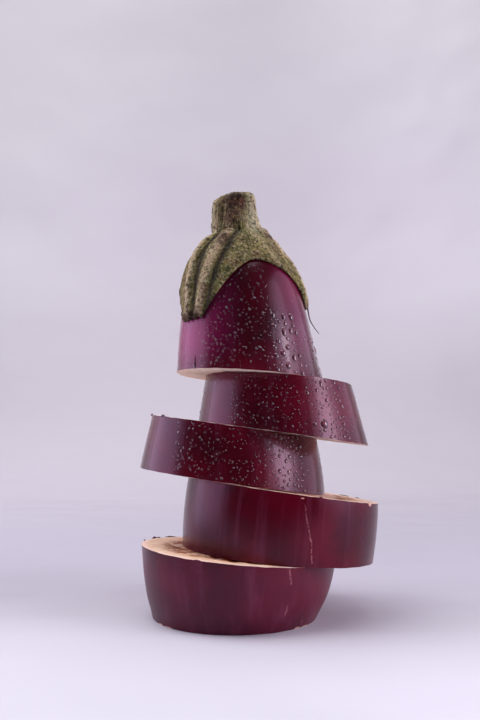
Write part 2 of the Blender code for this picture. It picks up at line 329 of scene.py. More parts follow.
def hang_panel(panel):
    turn = math.radians(panel.round)
    rise = math.radians(panel.up)
    direction = Vector((math.sin(turn) * math.cos(rise), -math.cos(turn) * math.cos(rise), math.sin(rise)))
    light = bpy.data.lights.new(panel.name, "AREA")
    light.shape = "ELLIPSE"
    light.size = panel.width
    light.size_y = panel.height
    light.energy = panel.brightness * math.pi * panel.width * panel.height
    light.color = panel.colour
    hung = bpy.data.objects.new(panel.name, light)
    hung.location = AIM + direction * panel.distance
    hung.rotation_euler = direction.to_track_quat("Z", "Y").to_euler()
    hung.visible_camera = False
    bpy.context.scene.collection.objects.link(hung)
    return light


for panel in PANELS:
    print(panel.name, "gives", round(hang_panel(panel).energy, 2), "W")

# The rest of the room is dim
room = bpy.data.worlds.new("room")
room.use_nodes = True
room.node_tree.nodes["Background"].inputs["Color"].default_value = ROOM_COLOUR
bpy.context.scene.world = room

# %% [markdown]
# ## The whole fruit, before the knife
#
# The five pieces belong to one fruit, so one outline gives the skin of all of them: a radius for
# each height along the fruit. A curve through a few measured points is smoother than a list of
# many.

# %% Outline of the fruit
# Height along the fruit and the radius there, in millimetres, from the tip down
FRUIT_OUTLINE = (
    (159.0, 0.0),
    (157.7, 6.6),
    (154.8, 11.2),
    (150.7, 15.3),
    (146.2, 18.6),
    (141.2, 21.4),
    (136.0, 23.5),
    (130.0, 24.9),
    (123.0, 26.2),
    (114.0, 27.7),
    (105.0, 28.9),
    (97.0, 30.3),
    (86.0, 32.6),
    (75.0, 34.9),
    (64.0, 37.3),
    (52.0, 39.3),
    (38.0, 39.9),
    (26.0, 39.3),
    (17.0, 38.3),
    (9.0, 36.5),
    (3.0, 34.2),
    (-2.0, 32.0),
    (-7.0, 28.0),
    (-11.5, 16.0),
    (-13.5, 0.0),
)
OUTLINE_STEPS = 8


def smooth_line(points, steps, before=None, after=None):
    """Points of a curve through these points, with this many steps from each to the next."""
    line = [before or points[0], *points, after or points[-1]]
    smooth = []
    for previous, start, end, following in zip(line, line[1:], line[2:], line[3:]):
        leave = start + (end - previous) / 6
        arrive = end - (following - start) / 6
        smooth += interpolate_bezier(start, leave, arrive, end, steps + 1)[:-1]
    return smooth + [points[-1]]


def fruit_line():
    """The outline as vectors of radius and height, square to the axis at both poles."""
    points = [Vector((radius, height, 0.0)) * MM for height, radius in FRUIT_OUTLINE]
    first = Vector((-points[1].x, points[1].y, 0.0))
    last = Vector((-points[-2].x, points[-2].y, 0.0))
    return smooth_line(points, OUTLINE_STEPS, first, last)


OUTLINE = fruit_line()
OUTLINE_RADII = np.array([point.x for point in OUTLINE])
OUTLINE_HEIGHTS = np.array([point.y for point in OUTLINE])
print("the fruit is", round(2 * OUTLINE_RADII.max() / MM, 1), "mm across at its widest")

# %% [markdown]
# ## The skin's surface
#
# A turned shape would be too perfect. The section isn't quite a circle, so the radius changes a
# little with the angle. The blossom end sags to one side, and faint dents make a highlight wander.
# An angle is measured from the front to the right.

# %% Points of the skin
# Waves round the fruit, their share of the radius, and the angle of a crest in degrees
OUT_OF_ROUND = ((2, 0.010, 35.0), (3, 0.005, 80.0))
BLOSSOM_SAG = 1.8 * MM
SAG_START = 25.0 * MM
DENT_DEPTH = 0.12 * MM
DENT_SIZE = 13.0 * MM


def radius_at(height):
    return float(np.interp(-height, -OUTLINE_HEIGHTS, OUTLINE_RADII))


def out_of_round(angle):
    """Radius at this angle as a share of the outline's."""
    share = 1.0
    for waves, amount, crest in OUT_OF_ROUND:
        share += amount * math.cos(waves * (angle - math.radians(crest)))
    return share


def at(angle, radius, height):
    """The point at this angle round the fruit's axis, measured from its front to the right."""
    return Vector((radius * math.sin(angle), -radius * math.cos(angle), height))


def skin_point(angle, height):
    """A point of the skin, with the faint dents that make a highlight wander."""
    point = at(angle, radius_at(height) * out_of_round(angle), height)
    dent = DENT_DEPTH * (1 + noise.noise(point / DENT_SIZE)) / 2
    point = at(angle, radius_at(height) * out_of_round(angle) - dent, height)
    point.x -= BLOSSOM_SAG * max(0.0, 1 - height / SAG_START) ** 2
    return point


print("at the front, 50 mm up, the skin is", round(-skin_point(0.0, 50 * MM).y / MM, 1), "mm out")

# %% [markdown]
# ## Where the pieces stand
#
# Each cut is a plane with its own slope, because the knife was never quite level and the slices
# lean. A piece stands on the cut below it, shifted, leaning and turned a little. These are the same
# places as the solids have: lengths in millimetres, and slopes, leans and turns in degrees.

# %% Cuts and places
Cut = namedtuple("Cut", "height rise_right rise_back")
CUTS = (
    Cut(0.0, 0.0, 0.0),
    Cut(25.4, -4.9, -1.5),
    Cut(52.9, -8.2, -2.2),
    Cut(75.5, -8.2, -1.1),
    Cut(96.1, -4.1, -2.7),
)
GAP = 0.05 * MM
Piece = namedtuple("Piece", "node fruit_height x y lean_right lean_back turn")
PIECES = (
    Piece("blossom_end_piece", 0.0, 1.8, 0.0, 0.0, 0.0, 0.0),
    Piece("lower_slice", 25.3, 17.5, 6.6, 4.9, -3.3, 10.0),
    Piece("middle_slice", 52.0, -1.4, 10.7, 1.1, -2.1, -15.0),
    Piece("upper_slice", 75.0, 18.7, 5.7, -2.6, 0.5, 15.0),
    Piece("stem_end_piece", 97.0, 5.6, 2.0, -4.5, 1.5, 0.0),
)


def slopes(cut):
    return math.tan(math.radians(cut.rise_right)), math.tan(math.radians(cut.rise_back))


def place_of(piece, cut):
    """Carries the whole fruit to where this piece of it stands on the cut."""
    right, back = slopes(cut)
    x, y = piece.x * MM, piece.y * MM
    lean = Euler((-math.radians(piece.lean_back), math.radians(piece.lean_right), 0.0))
    turn = Matrix.Rotation(math.radians(piece.turn), 4, "Z")
    lowered = Matrix.Translation((0.0, 0.0, -piece.fruit_height * MM))
    stand = Matrix.Translation((x, y, cut.height * MM + right * x + back * y))
    return stand @ lean.to_matrix().to_4x4() @ turn @ lowered


def face_of(cut, lift, to_fruit):
    """A point and the upward normal of a cut, in the frame of the fruit that a piece came from."""
    right, back = slopes(cut)
    normal = Vector((-right, -back, 1.0)).normalized()
    point = Vector((0.0, 0.0, cut.height * MM)) + normal * lift
    return to_fruit @ point, to_fruit.to_3x3() @ normal


# Each piece, the cut that it stands on, and the cut above it
STACK = list(zip(PIECES, CUTS, CUTS[1:] + (None,)))
PLACES = {piece.node: place_of(piece, below) for piece, below, _ in STACK}
for name, place in PLACES.items():
    print(name, "leans", round(math.degrees(place.to_quaternion().to_exponential_map().xy.length), 1))

# %% [markdown]
# ## Skin
#
# Eggplant skin is thin, taut and almost black where no light reflects in it. Light that enters it
# comes back as a deep red purple. Fine paler streaks run along the fruit, because the skin
# stretched as it grew. The streaks follow the fruit and not the stack, so each mesh carries an
# attribute, `in_fruit`, that says where each point was before the knife. One pattern then runs on
# from piece to piece.
#
# A pattern is noise of a given size, and a soft step between two values of the noise decides how
# much of the skin it takes.

# %% Colour and streaks of all the skin
DEEP_SKIN = paint(60, 10, 22)
RED_SKIN = paint(92, 13, 32)
PALE_STREAK = paint(150, 84, 116)
PINK_GLOSS = (1.0, 0.62, 0.86, 1.0)
SKIN_GLOSS = {
    "IOR": 1.5,
    "Specular IOR Level": 0.34,
    "Specular Tint": PINK_GLOSS,
    "Coat IOR": 1.33,
    "Coat Roughness": 0.05,
}
ALONG_FRUIT = (1.0, 1.0, 0.05)
BLOTCH_SIZE = 26.0 * MM
BLOTCH_STEP = (0.35, 0.68)
STREAK_SIZE = 5.0 * MM
STREAK_STEP = (0.45, 0.8)
FLECK_SIZE = 0.55 * MM
FLECK_STEP = (0.72, 0.8)
FLECK_STRENGTH = 0.35
UNEVEN_SIZE = 7.0 * MM


def plain_skin(finish, point, streak_strength):
    """The skin's colour with blotches, streaks and flecks, and where the streaks are."""
    blotch = finish.grain(point, BLOTCH_SIZE, detail=3.0)
    colour = finish.mixed(finish.step(blotch, *BLOTCH_STEP), DEEP_SKIN, RED_SKIN)
    along = finish.stretched(point, ALONG_FRUIT)
    streak = finish.step(finish.grain(along, STREAK_SIZE, detail=5.0, roughness=0.6), *STREAK_STEP)
    colour = finish.mixed(streak * streak_strength, colour, PALE_STREAK)
    fleck = finish.step(finish.grain(point, FLECK_SIZE), *FLECK_STEP)
    colour = finish.mixed(fleck * FLECK_STRENGTH, colour, PALE_STREAK)
    return colour, streak


print("streaks are about", round(1 / ALONG_FRUIT[2]), "times as long as they are wide")

# %% [markdown]
# ## Wet skin
#
# The upper three pieces are wet: a film of water gives them a second, sharper layer of gloss. It is
# thickest low on the top piece, apart from its left flank. The film isn't even, and a fine relief
# of flat drops breaks up the reflections.
#
# Towards the calyx the skin's colour is painted light and shade: a painted magenta highlight on the left
# flank, where the left panels reflect, a little of it on the right, and painted shade, nearly black,
# elsewhere.

# %% Finish of the wet skin
PAINTED_SHADE_SKIN = paint(34, 6, 14)
PAINTED_HIGHLIGHT_SKIN = paint(166, 44, 108)
WET_STREAKS = 0.10
PAINTED_BANDS_HEIGHT = (98.0 * MM, 112.0 * MM)
LEFT_FLANK_END = (math.radians(-62), math.radians(6))
LEFT_FLANK_START = (math.radians(-145), math.radians(-55))
RIGHT_HIGHLIGHT_START = (math.radians(24), math.radians(56))
RIGHT_HIGHLIGHT_END = (math.radians(100), math.radians(178))
RIGHT_HIGHLIGHT_SHARE = 0.3
PAINTED_HIGHLIGHT_STRENGTH = 0.62
PAINTED_SHADE_STRENGTH = 0.6
DROP_SIZE = 0.9 * MM
DROP_STEP = (0.1, 0.42)
FILM_PATCH = 5.0 * MM
FILM_STEP = (0.4, 0.6)
WET_DEPTH = 0.05 * MM
WET_ROUGHNESS = 0.18
WET_UNEVEN = 0.14
SOAKED_FROM = (93.0 * MM, 99.0 * MM)
SOAKED_TO = (113.0 * MM, 121.0 * MM)
THIN_FILM = 0.35
THICK_FILM = 0.95


def wet_skin_finish():
    finish = Finish("wet_skin", SKIN_GLOSS)
    point = finish.attribute("in_fruit")
    turn, height = finish.turn_and_height(point)
    colour, _ = plain_skin(finish, point, WET_STREAKS)
    left = finish.step(turn, *LEFT_FLANK_START) * (1 - finish.step(turn, *LEFT_FLANK_END))
    right = finish.step(turn, *RIGHT_HIGHLIGHT_START) * (1 - finish.step(turn, *RIGHT_HIGHLIGHT_END))
    high = finish.step(height, *PAINTED_BANDS_HEIGHT)
    between = high * (1 - left) * (1 - right)
    # Painted shade: nearly black on the skin between the reflected bands towards the calyx
    colour = finish.mixed(between * PAINTED_SHADE_STRENGTH, colour, PAINTED_SHADE_SKIN)
    # Painted highlight: magenta where the side panels reflect on the flanks
    painted_highlight = (left + right * RIGHT_HIGHLIGHT_SHARE) * high
    colour = finish.mixed(painted_highlight * PAINTED_HIGHLIGHT_STRENGTH, colour, PAINTED_HIGHLIGHT_SKIN)
    soaked = finish.step(height, *SOAKED_FROM) * (1 - finish.step(height, *SOAKED_TO)) * (1 - left)
    drops = 1 - finish.step(finish.cells(point, DROP_SIZE), *DROP_STEP)
    relief = drops * finish.step(finish.grain(point, FILM_PATCH), *FILM_STEP)
    values = {
        "Base Color": colour,
        "Roughness": WET_ROUGHNESS + finish.grain(point, UNEVEN_SIZE, detail=4.0) * WET_UNEVEN,
        "Coat Weight": THIN_FILM + soaked * (THICK_FILM - THIN_FILM),
        "Normal": finish.bump(relief, WET_DEPTH),
    }
    finish.feed(finish.shader, values)
    return finish.material


WET_SKIN = wet_skin_finish()
print(WET_SKIN.name, "has", len(WET_SKIN.node_tree.nodes), "nodes")

# %% [markdown]
# ## Scratches and chips
#
# A scratch that healed leaves a thin pale line, and a rim that was knocked loses a chip of skin.
# Each is placed by its angle and height in the fruit, in degrees and millimetres. A scratch is a
# line from a low end to a high one, and a chip is an oval whose edge the noise makes ragged.

# %% Masks for scratches and chips
Scratch = namedtuple("Scratch", "low_angle low_height high_angle high_height width")
SCRATCHES = (
    Scratch(4.6, 38.0, -0.5, 52.3, 0.4),
    Scratch(6.5, 29.5, 4.4, 39.5, 0.35),
    Scratch(30.0, 17.7, 28.5, 24.5, 0.5),
    Scratch(28.4, 6.0, 29.8, 10.8, 0.45),
    Scratch(46.5, 1.0, 45.5, 3.8, 0.5),
    Scratch(150.0, 30.0, 146.0, 47.0, 0.5),
    Scratch(-130.0, 5.0, -128.0, 20.0, 0.5),
)
SCRATCH_CORE = 0.3
SCRATCH_END = 1.0 * MM
Chip = namedtuple("Chip", "angle height width tall")
CHIPS = (
    Chip(47.8, 51.6, 1.8, 1.5),
    Chip(-1.5, 53.8, 0.8, 0.28),
    Chip(-59.5, 0.3, 2.0, 0.45),
    Chip(-50.0, 0.2, 3.0, 0.35),
    Chip(43.0, 0.4, 1.6, 0.5),
    Chip(52.0, 0.2, 2.4, 0.4),
    Chip(130.0, 0.5, 3.0, 0.8),
)
CHIP_STEP = (0.9, 1.3)


def scratches(finish, turn, height):
    """1 on the thin healed scratches in the lower pieces' skin."""
    mask = 0.0
    for mark in SCRATCHES:
        low, high = mark.low_height * MM, mark.high_height * MM
        slope = math.radians(mark.high_angle - mark.low_angle) / (high - low)
        centre = (height - low) * slope + math.radians(mark.low_angle)
        aside = finish.maths("ABSOLUTE", turn - centre) * radius_at(low)
        line = 1 - finish.step(aside, SCRATCH_CORE * mark.width * MM, mark.width * MM)
        started = finish.step(height, low, low + SCRATCH_END)
        ended = finish.step(height, high - SCRATCH_END, high)
        mask = line * started * (1 - ended) + mask
    return mask


def chips(finish, turn, height, ragged):
    """1 where a chip of the dry skin has come off at a rim."""
    mask = 0.0
    for chip in CHIPS:
        aside = (turn - math.radians(chip.angle)) * (radius_at(chip.height * MM) / (chip.width * MM))
        along = (height - chip.height * MM) / (chip.tall * MM)
        mask = (1 - finish.step(aside * aside + along * along + ragged, *CHIP_STEP)) + mask
    return mask


print(len(SCRATCHES), "scratches and", len(CHIPS), "chips")

# %% [markdown]
# ## Dry skin
#
# The lower two pieces are dry and satin, so their bands are wide and dull. Low on the fruit lies a
# faint bloom, a waxy haze that makes the skin greyer and rougher.

# %% Finish of the dry skin
BLOOM_SKIN = paint(104, 50, 72)
CHIPPED = paint(206, 160, 138)
SCRATCHED = paint(178, 112, 122)
DRY_STREAKS = 0.25
BLOOM_HEIGHT = (18.0 * MM, 30.0 * MM)
BLOOM_STRENGTH = 0.25
BLOOM_ROUGHNESS = 0.12
RAGGED_SIZE = 0.8 * MM
RAGGED_TURN = 0.006
WAVER_SIZE = 3.0 * MM
WAVER_TURN = 0.03
SCRATCH_GAPS = (0.35, 0.6)
SCRATCH_STRENGTH = 0.6
DRY_DEPTH = 0.06 * MM
STREAK_RELIEF = 0.3
DRY_ROUGHNESS = 0.17
DRY_UNEVEN = 0.12


def dry_skin_finish():
    finish = Finish("dry_skin", SKIN_GLOSS)
    point = finish.attribute("in_fruit")
    turn, height = finish.turn_and_height(point)
    colour, streak = plain_skin(finish, point, DRY_STREAKS)
    bloom = 1 - finish.step(height, *BLOOM_HEIGHT)
    colour = finish.mixed(bloom * BLOOM_STRENGTH, colour, BLOOM_SKIN)
    ragged = finish.grain(point, RAGGED_SIZE, detail=3.0)
    waver = (finish.grain(point, WAVER_SIZE) - 0.5) * WAVER_TURN + (ragged - 0.5) * RAGGED_TURN
    marks = scratches(finish, turn + waver, height) * finish.step(ragged, *SCRATCH_GAPS)
    colour = finish.mixed(marks * SCRATCH_STRENGTH, colour, SCRATCHED)
    colour = finish.mixed(chips(finish, turn, height, ragged), colour, CHIPPED)
    uneven = finish.grain(point, UNEVEN_SIZE, detail=4.0)
    rough = DRY_ROUGHNESS + uneven * DRY_UNEVEN + bloom * BLOOM_ROUGHNESS
    normal = finish.bump(streak * STREAK_RELIEF + uneven, DRY_DEPTH)
    finish.feed(finish.shader, {"Base Color": colour, "Roughness": rough, "Normal": normal})
    return finish.material


DRY_SKIN = dry_skin_finish()
print(DRY_SKIN.name, "has", len(DRY_SKIN.node_tree.nodes), "nodes")

# %% [markdown]
# ## Flesh
#
# The flesh is a cream sponge. Cut and left, it browns first round the seeds, which lie in a wobbly
# ring about two thirds of the way out. Near the skin it stays pale, and its middle is a little pink.
# Higher up the fruit the flesh is painted paler and browns less: painted light on the shaded undersides of
# the upper two pieces. A second attribute, `to_rim`, runs from 0 at the middle of a cut to 1 at the skin,
# and it places the ring. A little light is let into the flesh, so its shadows are soft.

# %% Finish of the flesh
CREAM = paint(240, 210, 182)
WARM_CREAM = paint(230, 190, 154)
PINK_CREAM = paint(224, 178, 162)
RIM_CREAM = paint(242, 212, 200)
BROWNED = paint(152, 80, 40)
SEED_TAN = paint(200, 150, 96)
PAINTED_LIGHT_FLESH = paint(240, 222, 208)
PAINTED_LIGHT_FLESH_HEIGHT = (62.0 * MM, 74.0 * MM)
PAINTED_LIGHT_FLESH_STRENGTH = 0.8
CLOUD_SIZE = 5.0 * MM
CLOUD_STEP = (0.35, 0.65)
HEART_STEP = (0.45, 0.65)
PALE_RIM_STEP = (0.93, 0.985)
RIM_STRENGTH = 0.8
RING_PLACE = 0.68
RING_CORE = 0.02
RING_HALF_WIDTH = 0.15
RING_WOBBLE = 0.35
WOBBLE_SIZE = 11.0 * MM
BROWNED_SIZE = 4.2 * MM
BROWNED_STEP = (0.41, 0.53)
BROWNED_STRENGTH = 0.95
SEED_SPACING = 3.4 * MM
SEED_STEP = (0.16, 0.26)
SEED_STRENGTH = 0.7
PORE_SIZE = 0.5 * MM
PORE_SHARE = 0.5
LUMP_SIZE = 2.2 * MM
FLESH_DEPTH = 0.25 * MM
FLESH_ROUGHNESS = 0.55
PORE_ROUGHNESS = 0.2
FLESH_LIGHT = {
    "IOR": 1.4,
    "Specular IOR Level": 0.35,
    "Subsurface Weight": 0.15,
    "Subsurface Scale": 1.5 * MM,
    "Subsurface Radius": (1.0, 0.7, 0.45),
}


def flesh_finish():
    finish = Finish("flesh", FLESH_LIGHT)
    point = finish.attribute("in_fruit")
    out = finish.attribute("to_rim", "Fac")
    _, _, height = finish.parts(point)
    painted_light_high = finish.step(height, *PAINTED_LIGHT_FLESH_HEIGHT)
    wobble = finish.grain(point, WOBBLE_SIZE, detail=3.0) - 0.5
    place = out + wobble * RING_WOBBLE
    clouds = finish.step(finish.grain(point, CLOUD_SIZE, detail=4.0), *CLOUD_STEP)
    colour = finish.mixed(clouds, CREAM, WARM_CREAM)
    colour = finish.mixed(1 - finish.step(place, *HEART_STEP), colour, PINK_CREAM)
    # Painted light: the shaded undersides of the upper pieces are painted paler
    colour = finish.mixed(painted_light_high * PAINTED_LIGHT_FLESH_STRENGTH, colour, PAINTED_LIGHT_FLESH)
    colour = finish.mixed(finish.step(out, *PALE_RIM_STEP) * RIM_STRENGTH, colour, RIM_CREAM)
    from_ring = finish.maths("ABSOLUTE", place - RING_PLACE)
    ring = 1 - finish.step(from_ring, RING_CORE, RING_HALF_WIDTH)
    patch = finish.step(finish.grain(point, BROWNED_SIZE, detail=4.0, roughness=0.6), *BROWNED_STEP)
    colour = finish.mixed(ring * patch * (BROWNED_STRENGTH - painted_light_high * PAINTED_LIGHT_FLESH_STRENGTH), colour, BROWNED)
    seeds = 1 - finish.step(finish.cells(point, SEED_SPACING), *SEED_STEP)
    colour = finish.mixed(seeds * ring * SEED_STRENGTH, colour, SEED_TAN)
    pores = finish.grain(point, PORE_SIZE, detail=4.0, roughness=0.7)
    lumps = finish.grain(point, LUMP_SIZE, detail=3.0)
    normal = finish.bump(pores * PORE_SHARE + lumps + seeds * ring, FLESH_DEPTH)
    rough = FLESH_ROUGHNESS + pores * PORE_ROUGHNESS
    finish.feed(finish.shader, {"Base Color": colour, "Roughness": rough, "Normal": normal})
    return finish.material


FLESH = flesh_finish()
print(FLESH.name, "has", len(FLESH.node_tree.nodes), "nodes")

# %% [markdown]
# ## Cutting the pieces
#
# A slice could be cut out of a turned fruit with two planes. The knife's edges would then run
# through the mesh at random and the flat faces would have no points of their own to shape. Here a
# plain drum is spun first: rings on its bottom face, rows up its side, rings on its top face. The
# rings crowd towards the rim, where the shape needs them. The top piece has no upper cut, so its
# side closes at the fruit's tip.

# %% Spin a drum
COLUMNS = 192
SIDE_ROWS = 30
FACE_RINGS = 22
RING_CROWDING = 1.4
SEAM = 0.000001


def drum_section(closed_top):
    """Points of share of the radius and level: out along the bottom, up the side, in along the top."""
    rings = [1 - (1 - i / FACE_RINGS) ** RING_CROWDING for i in range(FACE_RINGS)]
    bottom = [(share, 0.0) for share in rings]
    side = [(1.0, i / SIDE_ROWS) for i in range(SIDE_ROWS + 1)]
    top = [] if closed_top else [(share, 1.0) for share in reversed(rings)]
    return bottom + side + top


def spun(section):
    """A closed bmesh from a section spun round the axis."""
    bm = bmesh.new()
    corners = [bm.verts.new((share, 0.0, level)) for share, level in section]
    edges = [bm.edges.new(pair) for pair in zip(corners, corners[1:])]
    whole_turn = {"axis": (0, 0, 1), "cent": (0, 0, 0), "angle": math.tau, "steps": COLUMNS}
    bmesh.ops.spin(bm, geom=corners + edges, use_merge=True, **whole_turn)
    bmesh.ops.remove_doubles(bm, verts=bm.verts[:], dist=SEAM)
    return bm


print("a drum's section has", len(drum_section(closed_top=False)), "points")

# %% [markdown]
# ## From drum to fruit
#
# Every point of the drum now moves to its place: the side's rows spread between the two slanted
# cuts, and the faces' rings follow the rim inwards. So the rim is clean, and flesh can sink a
# little round the seeds.
#
# The knife leaves the skin's edge a hair below the flesh, which shows as a thin pale line. Here and
# there it dragged, and the line is wider.

# %% Move the drum onto the fruit
SETTLE_ROUNDS = 6
EDGE_RISE = 0.06 * MM
EDGE_BITE = 0.22 * MM
DRAG_SCALE = 6.5
DRAG_APART = 0.37
FINE_DRAG = 0.3
FINE_DRAG_SCALE = 4
RIM_STEP = 0.45 * MM
RIM_SHARE = 0.999
RIM_HOLD = 12
FACE_SINK = 0.22 * MM
RING_SINK = 0.9 * MM
SINK_HALF_WIDTH = 0.09
SINK_PATCH = 5.0 * MM
SINK_RISE = 0.25
SINK_WAVE = 7.0 * MM


def height_on_cut(angle, point, normal):
    """Height in the fruit at which its skin meets a cut, at this angle."""
    height = point.z
    for _ in range(SETTLE_ROUNDS):
        rim = skin_point(angle, height) - point
        height = point.z - (normal.x * rim.x + normal.y * rim.y) / normal.z
    return height


def edge_drop(angle, which):
    """How far the skin's edge lies inside the cut: always a hair, and more where the knife dragged."""
    place = Vector((math.cos(angle), math.sin(angle), DRAG_APART * which)) * DRAG_SCALE
    drag = noise.noise(place) + FINE_DRAG * noise.noise(place * FINE_DRAG_SCALE)
    return EDGE_RISE + EDGE_BITE * max(0.0, drag)


def flesh_sink(share, point):
    """How far the flesh lies below the plane of the cut."""
    wobble = RING_WOBBLE * noise.noise(point / WOBBLE_SIZE)
    ring = math.exp(-((share + wobble - RING_PLACE) / SINK_HALF_WIDTH) ** 2)
    patch = max(0.0, noise.noise(point / SINK_PATCH) + SINK_RISE)
    wave = (1 + noise.noise(point / SINK_WAVE)) / 2
    return FACE_SINK * wave * min(1.0, (1 - share) * RIM_HOLD) + RING_SINK * ring * patch


def move_onto_fruit(bm, lower, upper):
    """Gives every point of the drum its place in the fruit, between two cuts or up to the tip."""
    in_fruit = bm.verts.layers.float_vector.new("in_fruit")
    to_rim = bm.verts.layers.float.new("to_rim")
    for vertex in bm.verts:
        share = math.hypot(vertex.co.x, vertex.co.y)
        level = vertex.co.z
        angle = math.atan2(vertex.co.x, -vertex.co.y)
        low = height_on_cut(angle, *lower)
        high = height_on_cut(angle, *upper) if upper else OUTLINE_HEIGHTS.max()
        if share > RIM_SHARE:
            start = low + edge_drop(angle, 1)
            end = high - edge_drop(angle, 2) if upper else high
            point = skin_point(angle, start + (end - start) * level)
        else:
            cut_point, normal = upper if level > 0.5 else lower
            inward = normal if level < 0.5 else -normal
            rim = skin_point(angle, high if level > 0.5 else low)
            middle = Vector((0.0, 0.0, cut_point.z))
            middle.z += (normal.x * cut_point.x + normal.y * cut_point.y) / normal.z
            point = middle + (rim - middle) * share * (1 - RIM_STEP / 2 / radius_at(cut_point.z))
            point += inward * flesh_sink(share, point)
        vertex.co = point
        vertex[in_fruit] = point
        vertex[to_rim] = share


print("the skin's edge lies", round(EDGE_RISE / MM, 2), "mm or more inside each cut")

# %% [markdown]
# ## Showing the pieces
#
# A finished mesh becomes an object that rides with the stack, and each cut piece takes the place of
# its solid. The skin and the flesh are one mesh with two finishes, because the real piece is one.
# Its faces shade smoothly, and only the edge between skin and cut stays sharp.

# %% Cut and show the pieces
SHARP_ANGLE = math.radians(35)
SKINS = (DRY_SKIN, DRY_SKIN, WET_SKIN, WET_SKIN, WET_SKIN)


def show(name, bm, finishes, node):
    """Makes a finished bmesh an object that rides with the stack, in place of a solid if one is named."""
    mesh = bpy.data.meshes.new(name)
    bm.to_mesh(mesh)
    bm.free()
    mesh.shade_smooth()
    for finish in finishes:
        mesh.materials.append(finish)
    shown = bpy.data.objects.new(name, mesh)
    bpy.context.scene.collection.objects.link(shown)
    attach(shown, "root")
    if node:
        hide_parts(node)
    return shown


def cut_piece(piece, below, above, skin):
    """One piece of the fruit, in its place in the stack."""
    place = PLACES[piece.node]
    to_fruit = place.inverted()
    lower = face_of(below, GAP if below.height else 0.0, to_fruit)
    upper = face_of(above, 0.0, to_fruit) if above else None
    bm = spun(drum_section(closed_top=above is None))
    for face in bm.faces:
        levels = [vertex.co.z for vertex in face.verts]
        flat = max(levels) < SEAM or (above and min(levels) > 1 - SEAM)
        face.material_index = 1 if flat else 0
    move_onto_fruit(bm, lower, upper)
    bmesh.ops.remove_doubles(bm, verts=bm.verts[:], dist=SEAM)
    bmesh.ops.transform(bm, matrix=place, verts=bm.verts[:])
    bmesh.ops.recalc_face_normals(bm, faces=bm.faces[:])
    return show(piece.node + "_skin_and_flesh", bm, (skin, FLESH), piece.node)


for (piece, below, above), skin in zip(STACK, SKINS):
    cut = cut_piece(piece, below, above, skin)
    cut.data.set_sharp_from_angle(angle=SHARP_ANGLE)
    print(cut.name, len(cut.data.polygons), "faces")

# %% [markdown]
# ## Torn skin
#
# Skin is tougher than flesh, so where the knife came out it tore, and small tongues of skin stand
# above the rim. A tongue is a small grid whose columns rise from the rim to a ragged height. It
# bends outwards a little and gets the skin's own thickness.

# %% Raise tongues of skin on the rims
Tongue = namedtuple("Tongue", "angle width tall outward")
TONGUES = {
    "blossom_end_piece": (
        Tongue(-100, 2.0, 0.60, 0.4),
        Tongue(-116, 4.6, 0.85, 0.6),
        Tongue(-120, 2.6, 0.50, 0.2),
        Tongue(-131, 7.0, 0.45, 0.3),
        Tongue(-22, 3.0, 0.30, 0.2),
        Tongue(150, 5.0, 0.60, 0.4),
    ),
    "lower_slice": (
        Tongue(8.5, 1.6, 0.40, 0.4),
        Tongue(109, 3.0, 0.30, 0.3),
        Tongue(121, 6.0, 0.30, 0.3),
        Tongue(-150, 5.0, 0.50, 0.3),
    ),
    "middle_slice": (
        Tongue(-80, 4.0, 1.20, 0.9),
        Tongue(-38, 3.4, 0.80, 0.4),
        Tongue(120, 5.0, 0.50, 0.4),
    ),
    "upper_slice": (Tongue(-150, 5.0, 0.5, 0.4), Tongue(140, 3.0, 0.6, 0.4)),
}
TONGUE_COLUMNS = 8
TONGUE_ROWS = 4
TONGUE_ROOT = 0.6 * MM
SKIN_THICKNESS = 0.22 * MM
RAGGED_TEETH = 90
RAGGED_LEAST = 0.8
RAGGED_SPREAD = 0.6


def add_tongue(bm, tongue, upper):
    in_fruit = bm.verts.layers.float_vector["in_fruit"]
    grid = bmesh.ops.create_grid(bm, x_segments=TONGUE_COLUMNS, y_segments=TONGUE_ROWS, size=0.5)
    middle = math.radians(tongue.angle)
    radius = radius_at(height_on_cut(middle, *upper))
    for vertex in grid["verts"]:
        across, up = vertex.co.x, vertex.co.y + 0.5
        angle = middle + across * tongue.width * MM / radius
        teeth = noise.noise(Vector((angle * RAGGED_TEETH, 0.0, 0.0)))
        ragged = RAGGED_LEAST + RAGGED_SPREAD * teeth
        tall = tongue.tall * MM * (1 - (2 * across) ** 2) * ragged
        root = height_on_cut(angle, *upper) - TONGUE_ROOT
        height = root + (TONGUE_ROOT + tall) * up
        point = skin_point(angle, height)
        point += at(angle, tongue.outward * MM * up * up, 0.0)
        vertex.co = point
        vertex[in_fruit] = point
    faces = list({face for vertex in grid["verts"] for face in vertex.link_faces})
    bmesh.ops.solidify(bm, geom=faces, thickness=SKIN_THICKNESS)


for (piece, _, above), skin in zip(STACK[:-1], SKINS):
    place = PLACES[piece.node]
    torn = bmesh.new()
    torn.verts.layers.float_vector.new("in_fruit")
    for tongue in TONGUES[piece.node]:
        add_tongue(torn, tongue, face_of(above, 0.0, place.inverted()))
    bmesh.ops.transform(torn, matrix=place, verts=torn.verts[:])
    bmesh.ops.recalc_face_normals(torn, faces=torn.faces[:])
    torn_skin = show("torn_skin_on_" + piece.node, torn, (skin,), None)
    print(torn_skin.name, len(TONGUES[piece.node]), "tongues")

# %% [markdown]
# ## The calyx
#
# The calyx is the green cap that held the flower. On the shelf it dries: the ribs stand out, the hollows
# between them sink, and the blunt lobes curl at their ends. It is leathery and lies close to the fruit. Its
# form is one sheet wrapped round the axis: each column runs from the middle of the stem's cut, down the
# stem, over the shoulder to the lobe's end, and back up the inside.
#
# The same section as the solid's gives the main form. More columns, a smooth curve through each
# section and a finer relief give the dried surface. First comes the edge: where the lobes end, and
# how high the notches between them arch.

